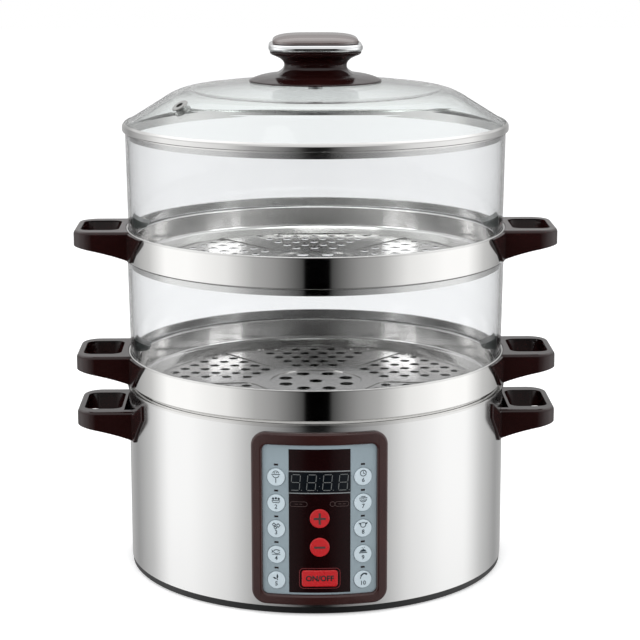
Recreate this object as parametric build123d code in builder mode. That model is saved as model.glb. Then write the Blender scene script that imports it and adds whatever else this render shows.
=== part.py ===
from build123d import *
import os
from math import asin, atan, cos, degrees, radians, sin, sqrt, tan

# Electric food steamer with three levels: a heated base with a water pot and a control panel,
# two lift-off steaming tiers with clear walls, and a domed glass lid with a knob.
# Millimetres, +Z up. The origin is on the table under the middle of the base, the control panel
# faces -Y and the carrying handles lie along X.

# ---------------------------------------------------------------- driving dimensions

# Clearances
snug_gap = 0.1  # between pieces that are fixed together
lift_gap = 0.4  # beside pieces that lift away from each other
key_gap = 0.3  # around each key
pin_gap = 0.05  # around screws and pins they hold in
screw_gap = 0.3  # around screws that pass through
spare = 2.0  # blind holes run on past the ends of their screws
over = 1.0  # cuts run past the faces they open

# Base shell and bottom
shell_radius = 140.0
shell_sheet = 1.0
shell_bottom_z = 5.9
ring_clearance = 0.8  # foot ring above the table
ring_radius = shell_radius - 0.6
ring_width = 6.0
ring_edge = 1.0
ring_slope = 1.5
floor_bottom_z = 3.0
upstand_top_z = 12.0
upstand_wall = 2.2
upstand_gap = 0.25  # inside the shell
foot_radius = 9.0
foot_edge = 0.8
foot_circle = shell_radius - 28.0
vent_slots = 8
vent_circle = 62.0
vent_length = 26.0
vent_width = 5.0

# Water pot
pot_sheet = 0.9
pot_floor_z = 46.0
pot_floor_radius = shell_radius - 27.0
pot_foot_radius = shell_radius - 24.0
pot_foot_rise = 3.0
pot_mouth_radius = shell_radius - 22.0
pot_shoulder_drop = 8.5  # below the seat of the lower tier
pot_ledge_inner = shell_radius - 9.0
pot_rim_radius = shell_radius + 1.0
pot_rim_rise = 2.8  # above the same seat
pot_rim_turn = 1.6
stud_radius = 4.5
stud_circle = 88.0
boss_radius = 7.0
boss_top_z = 13.0
screw_seat_z = 8.0

# Heater
plate_radius = 75.0
plate_thickness = 4.0
element_circle = 52.0
element_radius = 3.5
element_sweep = 320.0
element_sides = 8
element_pin_radius = 1.5
element_pin_length = 9.0
thermostat_radius = 11.0
thermostat_height = 8.0
tab_spacing = 9.0
tab_thickness = 0.8
tab_width = 6.3
tab_length = 8.0
fuse_radius = 2.6
fuse_length = 15.0
fuse_offset = 30.0
fuse_clip_width = 14.0
fuse_clip_sheet = 1.0

# Tiers
first_seat_z = 134.5  # where the lower tier stands in the pot
tier_pitch = 92.5
tier_sheet = 0.7
lip_radius = shell_radius - 3.5
lip_height = 4.9
hoop_radius = shell_radius - 0.2
hoop_height = 26.0
rim_height = 27.5
bead_overhang = 0.2
ledge_height = 20.4
pan_radius = shell_radius - 7.0
pan_foot_height = 4.3
plate_seat_inner = shell_radius - 26.0
steam_plate_radius = shell_radius - 18.6
steam_plate_sheet = 0.8
steam_plate_top = 0.6
wall_foot_radius = shell_radius - 1.9
wall_foot_thickness = 2.4
wall_top_radius = shell_radius - 0.7
clip_width = 16.0
clip_reach = 12.0
clip_height = 15.0
clip_tip_height = 9.5
clip_tip_depth = 2.5
clip_undercut = 1.0
clip_hook_height = 5.5

# Perforation: six sectors of staggered rows, and a ring of larger holes about the middle one
hole_radius = 3.75
hole_sides = 8
hole_pitch = 14.0
row_pitch = 14.0
first_row = 52.0
row_counts = (3, 4, 5, 6, 7)
sectors = 6
hub_hole_radius = 5.0
hub_circle = 24.6
hub_holes = 8
rib_height = 1.0
rib_width = 6.0
rib_inner = 42.0
rib_outer = shell_radius - 26.0

# Carrying handles
handle_reach = shell_radius + 37.2
handle_half_width = 33.5
base_handle_half_width = 37.0
handle_corner = 14.0
handle_side_wall = 9.0
handle_end_wall = 5.0
grip_inner = shell_radius + 4.5
base_grip_inner = shell_radius + 8.0
grip_corner = 8.0
handle_bevel = 0.8
handle_end_height = 11.0
handle_root_height = 21.5
sweep_start = shell_radius - 7.0
sweep_middle = shell_radius + 13.0
sweep_bow = 0.6
wing_thickness = 1.6
wing_half_width = 64.5
wing_foot_half_width = 41.0
wing_top_drop = 1.0
handle_screw_drop = 13.0
base_handle_drop = 13.5  # below the seat of the lower tier
base_wing_half_width = 61.5
base_wing_foot_half_width = 43.0
base_wing_tip_rise = 11.0
base_wing_side = 11.0
pocket_outer = shell_radius + 4.0
pocket_depth = 17.5

# Screws
screw_radius = 1.9
screw_head_radius = 3.5
screw_head_height = 2.4
screw_length = 14.0
bottom_screw_head_radius = 4.0
bottom_screw_head_height = 3.0

# Lid
skirt_depth = 3.9
rim_wall = 0.7
seat_radius = shell_radius - 1.4
band_radius = shell_radius + 1.4
band_rise = 1.3
band_edge = 0.5
rim_lip_radius = shell_radius - 0.6
glass_sheet = 4.0
glass_edge_radius = shell_radius + 0.3
glass_edge_rise = 6.0
glass_slope = 0.62
cone_start_radius = shell_radius - 28.0
shoulder_drop = 8.0
crown_radius = 681.0
crown_edge_radius = shell_radius - 48.0
vent_circle_radius = shell_radius - 28.0
vent_azimuth = -59.0
vent_bore = 2.6
vent_tube = 4.3
vent_flange = 6.0
vent_flange_height = 0.9
vent_flange_gap = 0.4
vent_edge = 0.4

# Knob
knob_flange_radius = 48.4
knob_flange_edge = 1.8
knob_cone_radius = 42.0
knob_cone_rise = 2.6
knob_foot_radius = 29.0
knob_foot_rise = 4.2
knob_waist_size = 45.4
knob_waist_corner = 14.0
knob_waist_bottom = 7.4
knob_waist_top = 11.6
knob_foot_flare = 5.4
knob_throat_flare = 3.2
knob_throat_rise = 15.7
knob_head_flare = 8.0
knob_head_rise = 20.7
ring_size = 68.4
ring_corner = 20.5
ring_height = 5.5
ring_bevel = 1.5
plug_size = 56.0
plug_corner = 15.0
cap_size = 62.6
cap_corner = 19.0
cap_height = 6.6
cap_round = 5.0
knob_screw_radius = 2.9
knob_screw_head_radius = 5.2
knob_screw_head_height = 3.2
knob_screw_depth = 14.0
washer_radius = 10.0
washer_thickness = 1.5

# Control panel
bezel_width = 94.8
bezel_height = 124.0
bezel_centre_z = 70.0
bezel_corner = 10.0
bezel_face_radius = shell_radius + 3.0
bezel_round = 1.8
opening_width = 79.4
opening_height = 107.8
opening_centre_z = 69.3
opening_corner = 4.0
bezel_skirt = 1.6
bezel_skirt_radius = shell_radius - 3.4
bezel_lip = 1.4
panel_face_radius = shell_radius + 0.6
panel_sheet = 2.0
window_width = 42.6
window_height = 103.4
window_centre_z = 68.6
window_proud = 0.15
display_width = 42.0
display_height = 16.0
display_centre_z = 96.9
window_corner = 0.5
board_face_y = shell_radius - 13.4
board_thickness = 1.6
chip_width = 18.0
chip_height = 8.0
chip_thickness = 2.0
board_width = 81.0
board_height = 104.0
standoff_height = 8.0
standoff_rows = (24.0, 114.0)
switch_size = 6.0
switch_height = 3.3
plunger_radius = 1.6
plunger_sides = 8
plunger_height = 1.0

# Keys
key_offset = 30.07
key_rows = (100.1, 81.45, 62.8, 44.15, 25.5)
key_radius = 6.3
key_proud = 0.9
key_flange = 1.1
key_flange_height = 1.2
key_bevel = 0.5
stem_radius = 2.0
stem_gap = 0.7
plus_z = 70.9
minus_z = 50.1
red_key_radius = 6.8
power_z = 27.4
power_width = 25.0
power_height = 11.8
power_corner = 2.0
lamp_rise = key_radius + 2.6
lamp_width = 2.7
lamp_height = 1.1
lamp_gap = 0.15

# Power board and inlet
power_board_width = 80.0
power_board_depth = 50.0
power_board_y = 62.0
post_radius = 3.5
post_top_z = 14.0
post_inset = 5.0
relay_size = (19.0, 15.0)
transformer_size = (22.0, 18.0)
terminal_size = (24.0, 8.0)
capacitor_radius = 5.0
component_height = 14.0
inlet_z = 30.0
inlet_face_y = shell_radius + 3.0
inlet_flange_width = 36.0
inlet_flange_height = 29.0
inlet_corner = 4.0
inlet_edge = 0.8
inlet_body_width = 28.0
inlet_body_height = 21.0
inlet_body_depth = 24.0
socket_width = 24.0
socket_height = 16.5
socket_depth = 17.0
socket_corner = 3.0
blade_width = 2.0
blade_height = 4.0
blade_length = 14.0
blade_spacing = 7.0
blade_drop = 2.0
blade_tail = 6.0

# ---------------------------------------------------------------- derived places

shell_inner = shell_radius - shell_sheet
pan_floor_z = shell_bottom_z
pot_underside_z = pot_floor_z - pot_sheet
pot_rim_z = first_seat_z + pot_rim_rise
pot_rim_under_z = pot_rim_z - pot_sheet
upstand_radius = shell_inner - upstand_gap
pot_ledge_outer = lip_radius + lift_gap + 0.2
heating_plate_bottom_z = pot_underside_z - plate_thickness
hoop_inner = hoop_radius - tier_sheet
riser_radius = hoop_inner - snug_gap - tier_sheet
bead_radius = hoop_radius + bead_overhang
base_handle_top_z = first_seat_z - base_handle_drop
lid_seat_z = first_seat_z + 2 * tier_pitch + lip_height
glass_edge_z = lid_seat_z + glass_edge_rise
panel_inner_radius = panel_face_radius - panel_sheet
switch_top_y = board_face_y + switch_height + plunger_height
key_azimuth = degrees(asin(key_offset / panel_face_radius))

os.makedirs("parts", exist_ok=True)


def keep(piece, name):
    """Label a finished piece and write its file."""
    piece.part.label = name
    export_step(piece.part, f"parts/{name}.step")


def sag(radius, half_width):
    """How far a round surface falls away at half_width beside its nearest line."""
    return radius - sqrt(radius**2 - half_width**2)


def cone_height(radius):
    """Height of the lid glass's outer face on its straight outer part."""
    return glass_edge_z + (glass_edge_radius - radius) * glass_slope


glass_top_z = cone_height(cone_start_radius) + shoulder_drop + sag(crown_radius, crown_edge_radius)


def panel_plane(azimuth, height, radius=panel_face_radius):
    """Plane on the panel's face, x to the right, y up and z outwards."""
    side, front = sin(radians(azimuth)), cos(radians(azimuth))
    return Plane(
        origin=(radius * side, -radius * front, height),
        x_dir=(front, side, 0),
        z_dir=(side, -front, 0),
    )


# ---------------------------------------------------------------- base

with BuildPart() as base_pan:
    # Foot ring, floor and the upstand that centres the shell
    with BuildSketch(Plane.XZ):
        with BuildLine():
            Polyline(
                (0, floor_bottom_z),
                (ring_radius - ring_width - ring_slope, floor_bottom_z),
                (ring_radius - ring_width, ring_clearance),
                (ring_radius - ring_edge, ring_clearance),
                (ring_radius, ring_clearance + ring_edge),
                (ring_radius, shell_bottom_z),
                (upstand_radius, shell_bottom_z),
                (upstand_radius, upstand_top_z),
                (upstand_radius - upstand_wall, upstand_top_z),
                (upstand_radius - upstand_wall, pan_floor_z),
                (0, pan_floor_z),
                close=True,
            )
        make_face()
    revolve(axis=Axis.Z)
    # Bosses for the bottom screws and posts for the power board
    with BuildSketch(Plane.XY.offset(pan_floor_z)):
        with PolarLocations(stud_circle, 4, start_angle=45):
            Circle(boss_radius)
    extrude(amount=boss_top_z - pan_floor_z)
    with BuildSketch(Plane.XY.offset(pan_floor_z)):
        with Locations((0, power_board_y)):
            with GridLocations(
                power_board_width - 2 * post_inset, power_board_depth - 2 * post_inset, 2, 2
            ):
                Circle(post_radius)
    extrude(amount=post_top_z - pan_floor_z)
    with BuildSketch(Plane.XY.offset(floor_bottom_z)):
        with PolarLocations(stud_circle, 4, start_angle=45):
            Circle(bottom_screw_head_radius + screw_gap)
    extrude(amount=screw_seat_z - floor_bottom_z, mode=Mode.SUBTRACT)
    with BuildSketch(Plane.XY.offset(floor_bottom_z)):
        with PolarLocations(stud_circle, 4, start_angle=45):
            Circle(screw_radius + screw_gap)
        with PolarLocations(vent_circle, vent_slots, start_angle=0):
            SlotOverall(vent_length, vent_width)
    extrude(amount=boss_top_z - floor_bottom_z, mode=Mode.SUBTRACT)
keep(base_pan, "base_pan")

with BuildPart() as rubber_feet:
    with BuildSketch(Plane.XY):
        with PolarLocations(foot_circle, 4, start_angle=45):
            Circle(foot_radius)
    extrude(amount=floor_bottom_z)
    chamfer(rubber_feet.edges().group_by(Axis.Z)[0], foot_edge)
keep(rubber_feet, "rubber_feet")

with BuildPart() as base_screws:
    with BuildSketch(Plane.XY.offset(screw_seat_z)):
        with PolarLocations(stud_circle, 4, start_angle=45):
            Circle(bottom_screw_head_radius)
    extrude(amount=-bottom_screw_head_height)
    with BuildSketch(Plane.XY.offset(screw_seat_z)):
        with PolarLocations(stud_circle, 4, start_angle=45):
            Circle(screw_radius)
    extrude(amount=boss_top_z + screw_length - spare - screw_seat_z)
keep(base_screws, "base_screws")

with BuildPart() as inner_pot:
    # One drawn sheet: floor, wall, shoulder, seat for the lower tier and turned rim
    with BuildSketch(Plane.XZ):
        with BuildLine():
            Polyline(
                (0, pot_floor_z),
                (pot_floor_radius, pot_floor_z),
                (pot_foot_radius, pot_floor_z + pot_foot_rise),
                (pot_mouth_radius, first_seat_z - pot_shoulder_drop),
                (pot_ledge_inner, first_seat_z),
                (pot_ledge_outer, first_seat_z),
                (pot_ledge_outer, pot_rim_z),
                (pot_rim_radius, pot_rim_z),
                (pot_rim_radius, pot_rim_z - pot_rim_turn),
            )
            offset(amount=pot_sheet, side=Side.RIGHT, kind=Kind.INTERSECTION)
        make_face()
    revolve(axis=Axis.Z)
    # Welded studs that the bottom screws pull on
    with BuildSketch(Plane.XY.offset(boss_top_z)):
        with PolarLocations(stud_circle, 4, start_angle=45):
            Circle(stud_radius)
    extrude(amount=pot_underside_z - boss_top_z)
    with BuildSketch(Plane.XY.offset(boss_top_z)):
        with PolarLocations(stud_circle, 4, start_angle=45):
            Circle(screw_radius + pin_gap)
    extrude(amount=screw_length, mode=Mode.SUBTRACT)
keep(inner_pot, "inner_pot")

with BuildPart() as heating_plate:
    with BuildSketch(Plane.XY.offset(heating_plate_bottom_z)):
        Circle(plate_radius)
    extrude(amount=plate_thickness)
keep(heating_plate, "heating_plate")

element_z = heating_plate_bottom_z - pin_gap - element_radius
with BuildPart() as heating_element:
    with BuildSketch(Plane.XZ):
        with Locations((element_circle, element_z)):
            RegularPolygon(
                element_radius, element_sides, major_radius=False, rotation=180 / element_sides
            )
    revolve(axis=Axis.Z, revolution_arc=element_sweep)
    # Cold pins on both ends
    for turn, way in ((0, 1), (element_sweep, -1)):
        direction = Vector(sin(radians(turn)), -cos(radians(turn)), 0) * way
        end = Vector(
            element_circle * cos(radians(turn)), element_circle * sin(radians(turn)), element_z
        )
        with BuildSketch(Plane(origin=end, z_dir=direction)):
            Circle(element_pin_radius)
        extrude(amount=element_pin_length)
keep(heating_element, "heating_element")

with BuildPart() as thermostat:
    with BuildSketch(Plane.XY.offset(heating_plate_bottom_z)):
        Circle(thermostat_radius)
    extrude(amount=-thermostat_height)
    with BuildSketch(Plane.XY.offset(heating_plate_bottom_z - thermostat_height)):
        with GridLocations(tab_spacing, 0, 2, 1):
            Rectangle(tab_thickness, tab_width)
    extrude(amount=-tab_length)
keep(thermostat, "thermostat")

with BuildPart() as thermal_fuse:
    # Fuse in its saddle clip, held against the heating plate
    with BuildSketch(Plane.YZ.offset(-fuse_length / 2)):
        with Locations((-fuse_offset, heating_plate_bottom_z - fuse_radius)):
            Circle(fuse_radius)
        with Locations((-fuse_offset, heating_plate_bottom_z - fuse_radius / 2)):
            Rectangle(2 * fuse_radius, fuse_radius)
        with Locations((-fuse_offset, heating_plate_bottom_z - fuse_clip_sheet / 2)):
            Rectangle(fuse_clip_width, fuse_clip_sheet)
    extrude(amount=fuse_length)
keep(thermal_fuse, "thermal_fuse")

with BuildPart() as outer_shell:
    with BuildSketch(Plane.XY.offset(shell_bottom_z)):
        Circle(shell_radius)
        Circle(shell_inner, mode=Mode.SUBTRACT)
    extrude(amount=pot_rim_under_z - shell_bottom_z)
    # Opening for the panel, then the one for the inlet
    with BuildSketch(Plane.XZ.offset(shell_inner / 2)):
        with Locations((0, opening_centre_z)):
            RectangleRounded(
                opening_width + 2 * (bezel_skirt + key_gap),
                opening_height + 2 * (bezel_skirt + key_gap),
                opening_corner + bezel_skirt,
            )
    extrude(amount=shell_radius, mode=Mode.SUBTRACT)
    with BuildSketch(Plane.XZ.offset(-shell_inner / 2)):
        with Locations((0, inlet_z)):
            Rectangle(inlet_body_width + 2 * key_gap, inlet_body_height + 2 * key_gap)
    extrude(amount=-shell_radius, mode=Mode.SUBTRACT)
    # Holes for the handle screws on both sides
    with BuildSketch(Plane.YZ):
        with Locations((0, base_handle_top_z - handle_screw_drop)):
            with GridLocations(2 * base_handle_half_width - handle_side_wall, 0, 2, 1):
                Circle(screw_radius + screw_gap)
    extrude(amount=shell_radius + over, both=True, mode=Mode.SUBTRACT)
keep(outer_shell, "outer_shell")


# ---------------------------------------------------------------- handles and their screws


def grip_solid(top_z, half_width, hole_start):
    """The loop of a right-hand handle, before it is fitted to the wall that carries it."""
    grip_length = handle_reach - handle_end_wall - hole_start
    grip_width = 2 * (half_width - handle_side_wall)
    root_z, end_z = top_z - handle_root_height, top_z - handle_end_height
    with BuildPart() as grip:
        with BuildSketch(Plane.XY.offset(top_z)):
            with Locations((handle_reach / 2, 0)):
                RectangleRounded(handle_reach, 2 * half_width, handle_corner)
        extrude(amount=-handle_root_height)
        with BuildSketch(Plane.XY.offset(top_z)):
            with Locations((hole_start + grip_length / 2, 0)):
                RectangleRounded(grip_length, grip_width, grip_corner)
        extrude(amount=-handle_root_height, mode=Mode.SUBTRACT)
        # The underside sweeps up towards the free end
        with BuildSketch(Plane.XZ):
            with BuildLine():
                sweep_up = ThreePointArc(
                    (sweep_start, root_z),
                    (sweep_middle, (root_z + end_z) / 2 + sweep_bow),
                    (handle_reach + over, end_z),
                )
                Polyline(
                    sweep_up @ 1, (handle_reach + over, root_z - over), (0, root_z - over), (0, root_z)
                )
                Line((0, root_z), sweep_up @ 0)
            make_face()
        extrude(amount=half_width + over, both=True, mode=Mode.SUBTRACT)
        chamfer(grip.edges().group_by(Axis.Z)[-1], handle_bevel)
    return grip.part


def make_handle(name, side, top_z, half_width, wall_radius, wing_outline, hole_start):
    """A moulded handle: side is 1 for the right and -1 for the left."""
    wing_heights = [height for _, height in wing_outline]
    low_z, high_z = min(wing_heights), max(wing_heights)
    with BuildPart() as handle:
        add(grip_solid(top_z, half_width, hole_start))
        # Wings that hug the round wall, inside the outline given as (across, height) points
        with BuildPart(mode=Mode.PRIVATE) as wing:
            with BuildSketch(Plane.XY.offset(low_z)):
                Circle(wall_radius + wing_thickness)
            extrude(amount=high_z - low_z)
            with BuildSketch(Plane.YZ):
                with BuildLine():
                    Polyline(*wing_outline, close=True)
                make_face()
            extrude(amount=handle_reach, mode=Mode.INTERSECT)
        add(wing.part)
        with BuildSketch(Plane.XY.offset(low_z - over)):
            Circle(wall_radius)
        extrude(amount=max(top_z, high_z) - low_z + 2 * over, mode=Mode.SUBTRACT)
        if hole_start > pocket_outer + handle_bevel:
            # Open pocket between the grip and the wall
            with BuildSketch(Plane.XY.offset(top_z + over)):
                with Locations((pocket_outer / 2, 0)):
                    Rectangle(pocket_outer, 2 * (half_width - handle_side_wall))
            extrude(amount=-pocket_depth - over, mode=Mode.SUBTRACT)
        # Blind holes for the screws
        with BuildSketch(Plane.YZ.offset(wall_radius / 2)):
            with Locations((0, top_z - handle_screw_drop)):
                with GridLocations(2 * half_width - handle_side_wall, 0, 2, 1):
                    Circle(screw_radius + pin_gap)
        extrude(amount=wall_radius / 2 + screw_length - spare, mode=Mode.SUBTRACT)
        if side < 0:
            mirror(about=Plane.YZ, mode=Mode.REPLACE)
    keep(handle, name)


def make_handle_screws(name, top_z, half_width, inner_radius):
    """Screws that pass out through the round wall into both handles."""
    across = half_width - handle_side_wall / 2
    head_face = sqrt(inner_radius**2 - (across + screw_head_radius) ** 2) - snug_gap
    with BuildPart() as screws:
        for depth, radius, length in (
            (head_face, screw_head_radius, -screw_head_height),
            (head_face, screw_radius, screw_length),
        ):
            with BuildSketch(Plane.YZ.offset(depth)):
                with Locations((0, top_z - handle_screw_drop)):
                    with GridLocations(2 * across, 0, 2, 1):
                        Circle(radius)
            extrude(amount=length)
        mirror(about=Plane.YZ)
    keep(screws, name)


base_wing = [
    (0, base_handle_top_z),
    (base_wing_foot_half_width, base_handle_top_z),
    (base_wing_half_width, base_handle_top_z + base_wing_tip_rise),
    (base_wing_half_width, base_handle_top_z + base_wing_tip_rise - base_wing_side),
    (base_wing_foot_half_width, base_handle_top_z - handle_root_height),
    (0, base_handle_top_z - handle_root_height),
]
base_wing += [(-across, height) for across, height in reversed(base_wing[1:-1])]
for side, word in ((-1, "left"), (1, "right")):
    make_handle(
        f"base_handle_{word}",
        side,
        base_handle_top_z,
        base_handle_half_width,
        shell_radius + snug_gap,
        base_wing,
        base_grip_inner,
    )
make_handle_screws("base_handle_screws", base_handle_top_z, base_handle_half_width, shell_inner)


# ---------------------------------------------------------------- steaming tiers


def make_hoop(name, seat_z, handle_top_z):
    """Outer steel hoop of a tier, with the stepped-in lip that nests in what is below."""
    with BuildPart() as hoop:
        with BuildSketch(Plane.XZ):
            with BuildLine():
                Polyline(
                    (lip_radius, seat_z),
                    (lip_radius, seat_z + lip_height),
                    (hoop_radius, seat_z + lip_height),
                    (hoop_radius, seat_z + hoop_height),
                )
                offset(amount=tier_sheet, side=Side.LEFT, kind=Kind.INTERSECTION)
            make_face()
        revolve(axis=Axis.Z)
        with BuildSketch(Plane.YZ):
            with Locations((0, handle_top_z - handle_screw_drop)):
                with GridLocations(2 * handle_half_width - handle_side_wall, 0, 2, 1):
                    Circle(screw_radius + screw_gap)
        extrude(amount=hoop_radius + over, both=True, mode=Mode.SUBTRACT)
    keep(hoop, name)


def make_pan(name, seat_z):
    """Drawn pan: seat for the steam plate, sloped foot, wall, ledge for the clear wall and rim."""
    plate_seat_z = seat_z + steam_plate_top - steam_plate_sheet
    with BuildPart() as pan:
        with BuildSketch(Plane.XZ):
            with BuildLine():
                Polyline(
                    (plate_seat_inner, plate_seat_z),
                    (steam_plate_radius + key_gap, plate_seat_z),
                    (pan_radius, seat_z + pan_foot_height),
                    (pan_radius, seat_z + ledge_height),
                    (riser_radius, seat_z + ledge_height),
                    (riser_radius, seat_z + rim_height),
                    (bead_radius, seat_z + rim_height),
                    (bead_radius, seat_z + hoop_height),
                )
                offset(amount=tier_sheet, side=Side.RIGHT, kind=Kind.INTERSECTION)
            make_face()
        revolve(axis=Axis.Z)
    keep(pan, name)


def make_steam_plate(name, seat_z):
    """Perforated plate with embossed ribs between its sectors of holes."""
    top_z = seat_z + steam_plate_top
    with BuildPart() as plate:
        with BuildSketch(Plane.XY.offset(top_z - steam_plate_sheet)):
            Circle(steam_plate_radius)
            Circle(hub_hole_radius, mode=Mode.SUBTRACT)
            with PolarLocations(hub_circle, hub_holes, start_angle=180 / hub_holes):
                Circle(hub_hole_radius, mode=Mode.SUBTRACT)
            for sector in range(sectors):
                turn = 90 + sector * 360 / sectors
                for row, count in enumerate(row_counts):
                    with PolarLocations(first_row + row * row_pitch, 1, start_angle=turn):
                        with GridLocations(0, hole_pitch, 1, count):
                            RegularPolygon(hole_radius, hole_sides, mode=Mode.SUBTRACT)
        extrude(amount=steam_plate_sheet)
        with BuildSketch(Plane.XY.offset(top_z)):
            with PolarLocations((rib_inner + rib_outer) / 2, sectors, start_angle=60):
                SlotOverall(rib_outer - rib_inner, rib_width)
        extrude(amount=rib_height, taper=45)
    keep(plate, name)


def make_clear_wall(name, seat_z):
    """Clear plastic wall that widens a little towards its top."""
    foot_z = seat_z + ledge_height
    top_z = seat_z + tier_pitch + lip_height
    inner_top = lip_radius + lift_gap
    with BuildPart() as wall:
        with BuildSketch(Plane.XZ):
            with BuildLine():
                Polyline(
                    (wall_foot_radius - wall_foot_thickness, foot_z),
                    (wall_foot_radius, foot_z),
                    (wall_top_radius, top_z),
                    (inner_top, top_z),
                    close=True,
                )
            make_face()
        revolve(axis=Axis.Z)
    keep(wall, name)


def make_clips(name, seat_z):
    """Two dark clips that stand on the pan's ledge and hold the foot of the clear wall."""
    back = wall_foot_radius - wall_foot_thickness - 2 * snug_gap - sag(pan_radius, clip_width / 2)
    ledge_z = seat_z + ledge_height
    front = pan_radius + snug_gap
    with BuildPart() as clips:
        with BuildSketch(Plane.XZ.offset(-clip_width / 2)):
            with BuildLine():
                Polyline(
                    (back, ledge_z),
                    (back, ledge_z + clip_height),
                    (back - clip_reach, ledge_z + clip_tip_height),
                    (back - clip_reach + clip_undercut, ledge_z + clip_tip_height - clip_tip_depth),
                    (front, ledge_z + clip_hook_height),
                    (front, ledge_z),
                    close=True,
                )
            make_face()
        extrude(amount=clip_width)
        mirror(about=Plane.YZ)
    keep(clips, name)


for tier, word in enumerate(("lower", "upper")):
    seat = first_seat_z + tier * tier_pitch
    rim_z = seat + rim_height
    make_hoop(f"{word}_hoop", seat, rim_z)
    make_pan(f"{word}_pan", seat)
    make_steam_plate(f"{word}_steam_plate", seat)
    make_clear_wall(f"{word}_wall", seat)
    make_clips(f"{word}_clips", seat)
    tier_wing = [
        (wing_half_width, rim_z - wing_top_drop),
        (wing_foot_half_width, rim_z - handle_root_height),
        (-wing_foot_half_width, rim_z - handle_root_height),
        (-wing_half_width, rim_z - wing_top_drop),
    ]
    for side, hand in ((-1, "left"), (1, "right")):
        make_handle(
            f"{word}_handle_{hand}",
            side,
            rim_z,
            handle_half_width,
            bead_radius + snug_gap,
            tier_wing,
            grip_inner,
        )
    make_handle_screws(f"{word}_handle_screws", rim_z, handle_half_width, hoop_inner)

# ---------------------------------------------------------------- lid

with BuildPart() as lid_glass:
    # Shallow crown, a tighter shoulder and a straight skirt down to the rim
    with BuildSketch(Plane.XZ):
        with BuildLine():
            crown_angle = degrees(asin(crown_edge_radius / crown_radius))
            crown = CenterArc((0, glass_top_z - crown_radius), crown_radius, 90, -crown_angle)
            shoulder = TangentArc(
                crown @ 1, (cone_start_radius, cone_height(cone_start_radius)), tangent=crown % 1
            )
            Line(shoulder @ 1, (glass_edge_radius, glass_edge_z))
            offset(amount=glass_sheet, side=Side.RIGHT, kind=Kind.INTERSECTION)
        make_face()
    revolve(axis=Axis.Z)
    with BuildSketch(Plane.XY.offset(glass_top_z)):
        Circle(knob_screw_radius + key_gap)
    extrude(amount=-3 * glass_sheet, mode=Mode.SUBTRACT)
    vent_side, vent_front = sin(radians(vent_azimuth)), cos(radians(vent_azimuth))
    vent_plane = Plane(
        origin=(
            vent_circle_radius * vent_side,
            -vent_circle_radius * vent_front,
            cone_height(vent_circle_radius),
        ),
        z_dir=(glass_slope * vent_side, -glass_slope * vent_front, 1),
    )
    with BuildSketch(vent_plane):
        Circle(vent_tube + snug_gap)
    extrude(amount=2 * glass_sheet, both=True, mode=Mode.SUBTRACT)
keep(lid_glass, "lid_glass")

with BuildPart() as vent_eyelet:
    with BuildSketch(vent_plane.offset(vent_flange_gap)):
        Circle(vent_flange)
    extrude(amount=vent_flange_height)
    chamfer(vent_eyelet.faces().sort_by(Axis((0, 0, 0), vent_plane.z_dir))[-1].edges(), vent_edge)
    with BuildSketch(vent_plane.offset(-glass_sheet - vent_flange_gap)):
        Circle(vent_flange)
    extrude(amount=-vent_flange_height)
    with BuildSketch(vent_plane.offset(-glass_sheet - vent_flange_gap)):
        Circle(vent_tube)
    extrude(amount=glass_sheet + 2 * vent_flange_gap)
    with BuildSketch(vent_plane):
        Circle(vent_bore)
    extrude(amount=3 * glass_sheet, both=True, mode=Mode.SUBTRACT)
keep(vent_eyelet, "vent_eyelet")

with BuildPart() as lid_rim:
    # Steel rim: skirt inside the clear wall, seat on its top and band around the glass
    skirt_inner = lip_radius - rim_wall
    glass_foot_z = glass_edge_z - glass_sheet * cos(atan(glass_slope))
    groove_radius = glass_edge_radius + key_gap
    with BuildSketch(Plane.XZ):
        with BuildLine():
            Polyline(
                (skirt_inner, lid_seat_z - skirt_depth),
                (lip_radius, lid_seat_z - skirt_depth),
                (lip_radius, lid_seat_z),
                (seat_radius, lid_seat_z),
                (seat_radius, lid_seat_z + band_rise),
                (band_radius - band_edge, lid_seat_z + band_rise),
                (band_radius, lid_seat_z + band_rise + band_edge),
                (band_radius, cone_height(band_radius) + 2 * snug_gap),
                (rim_lip_radius, cone_height(rim_lip_radius) + rim_wall + snug_gap),
                (rim_lip_radius, cone_height(rim_lip_radius) + snug_gap),
                (groove_radius, cone_height(groove_radius) + snug_gap),
                (groove_radius, glass_foot_z - snug_gap),
                (skirt_inner, glass_foot_z - snug_gap),
                close=True,
            )
        make_face()
    revolve(axis=Axis.Z)
keep(lid_rim, "lid_rim")

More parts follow.
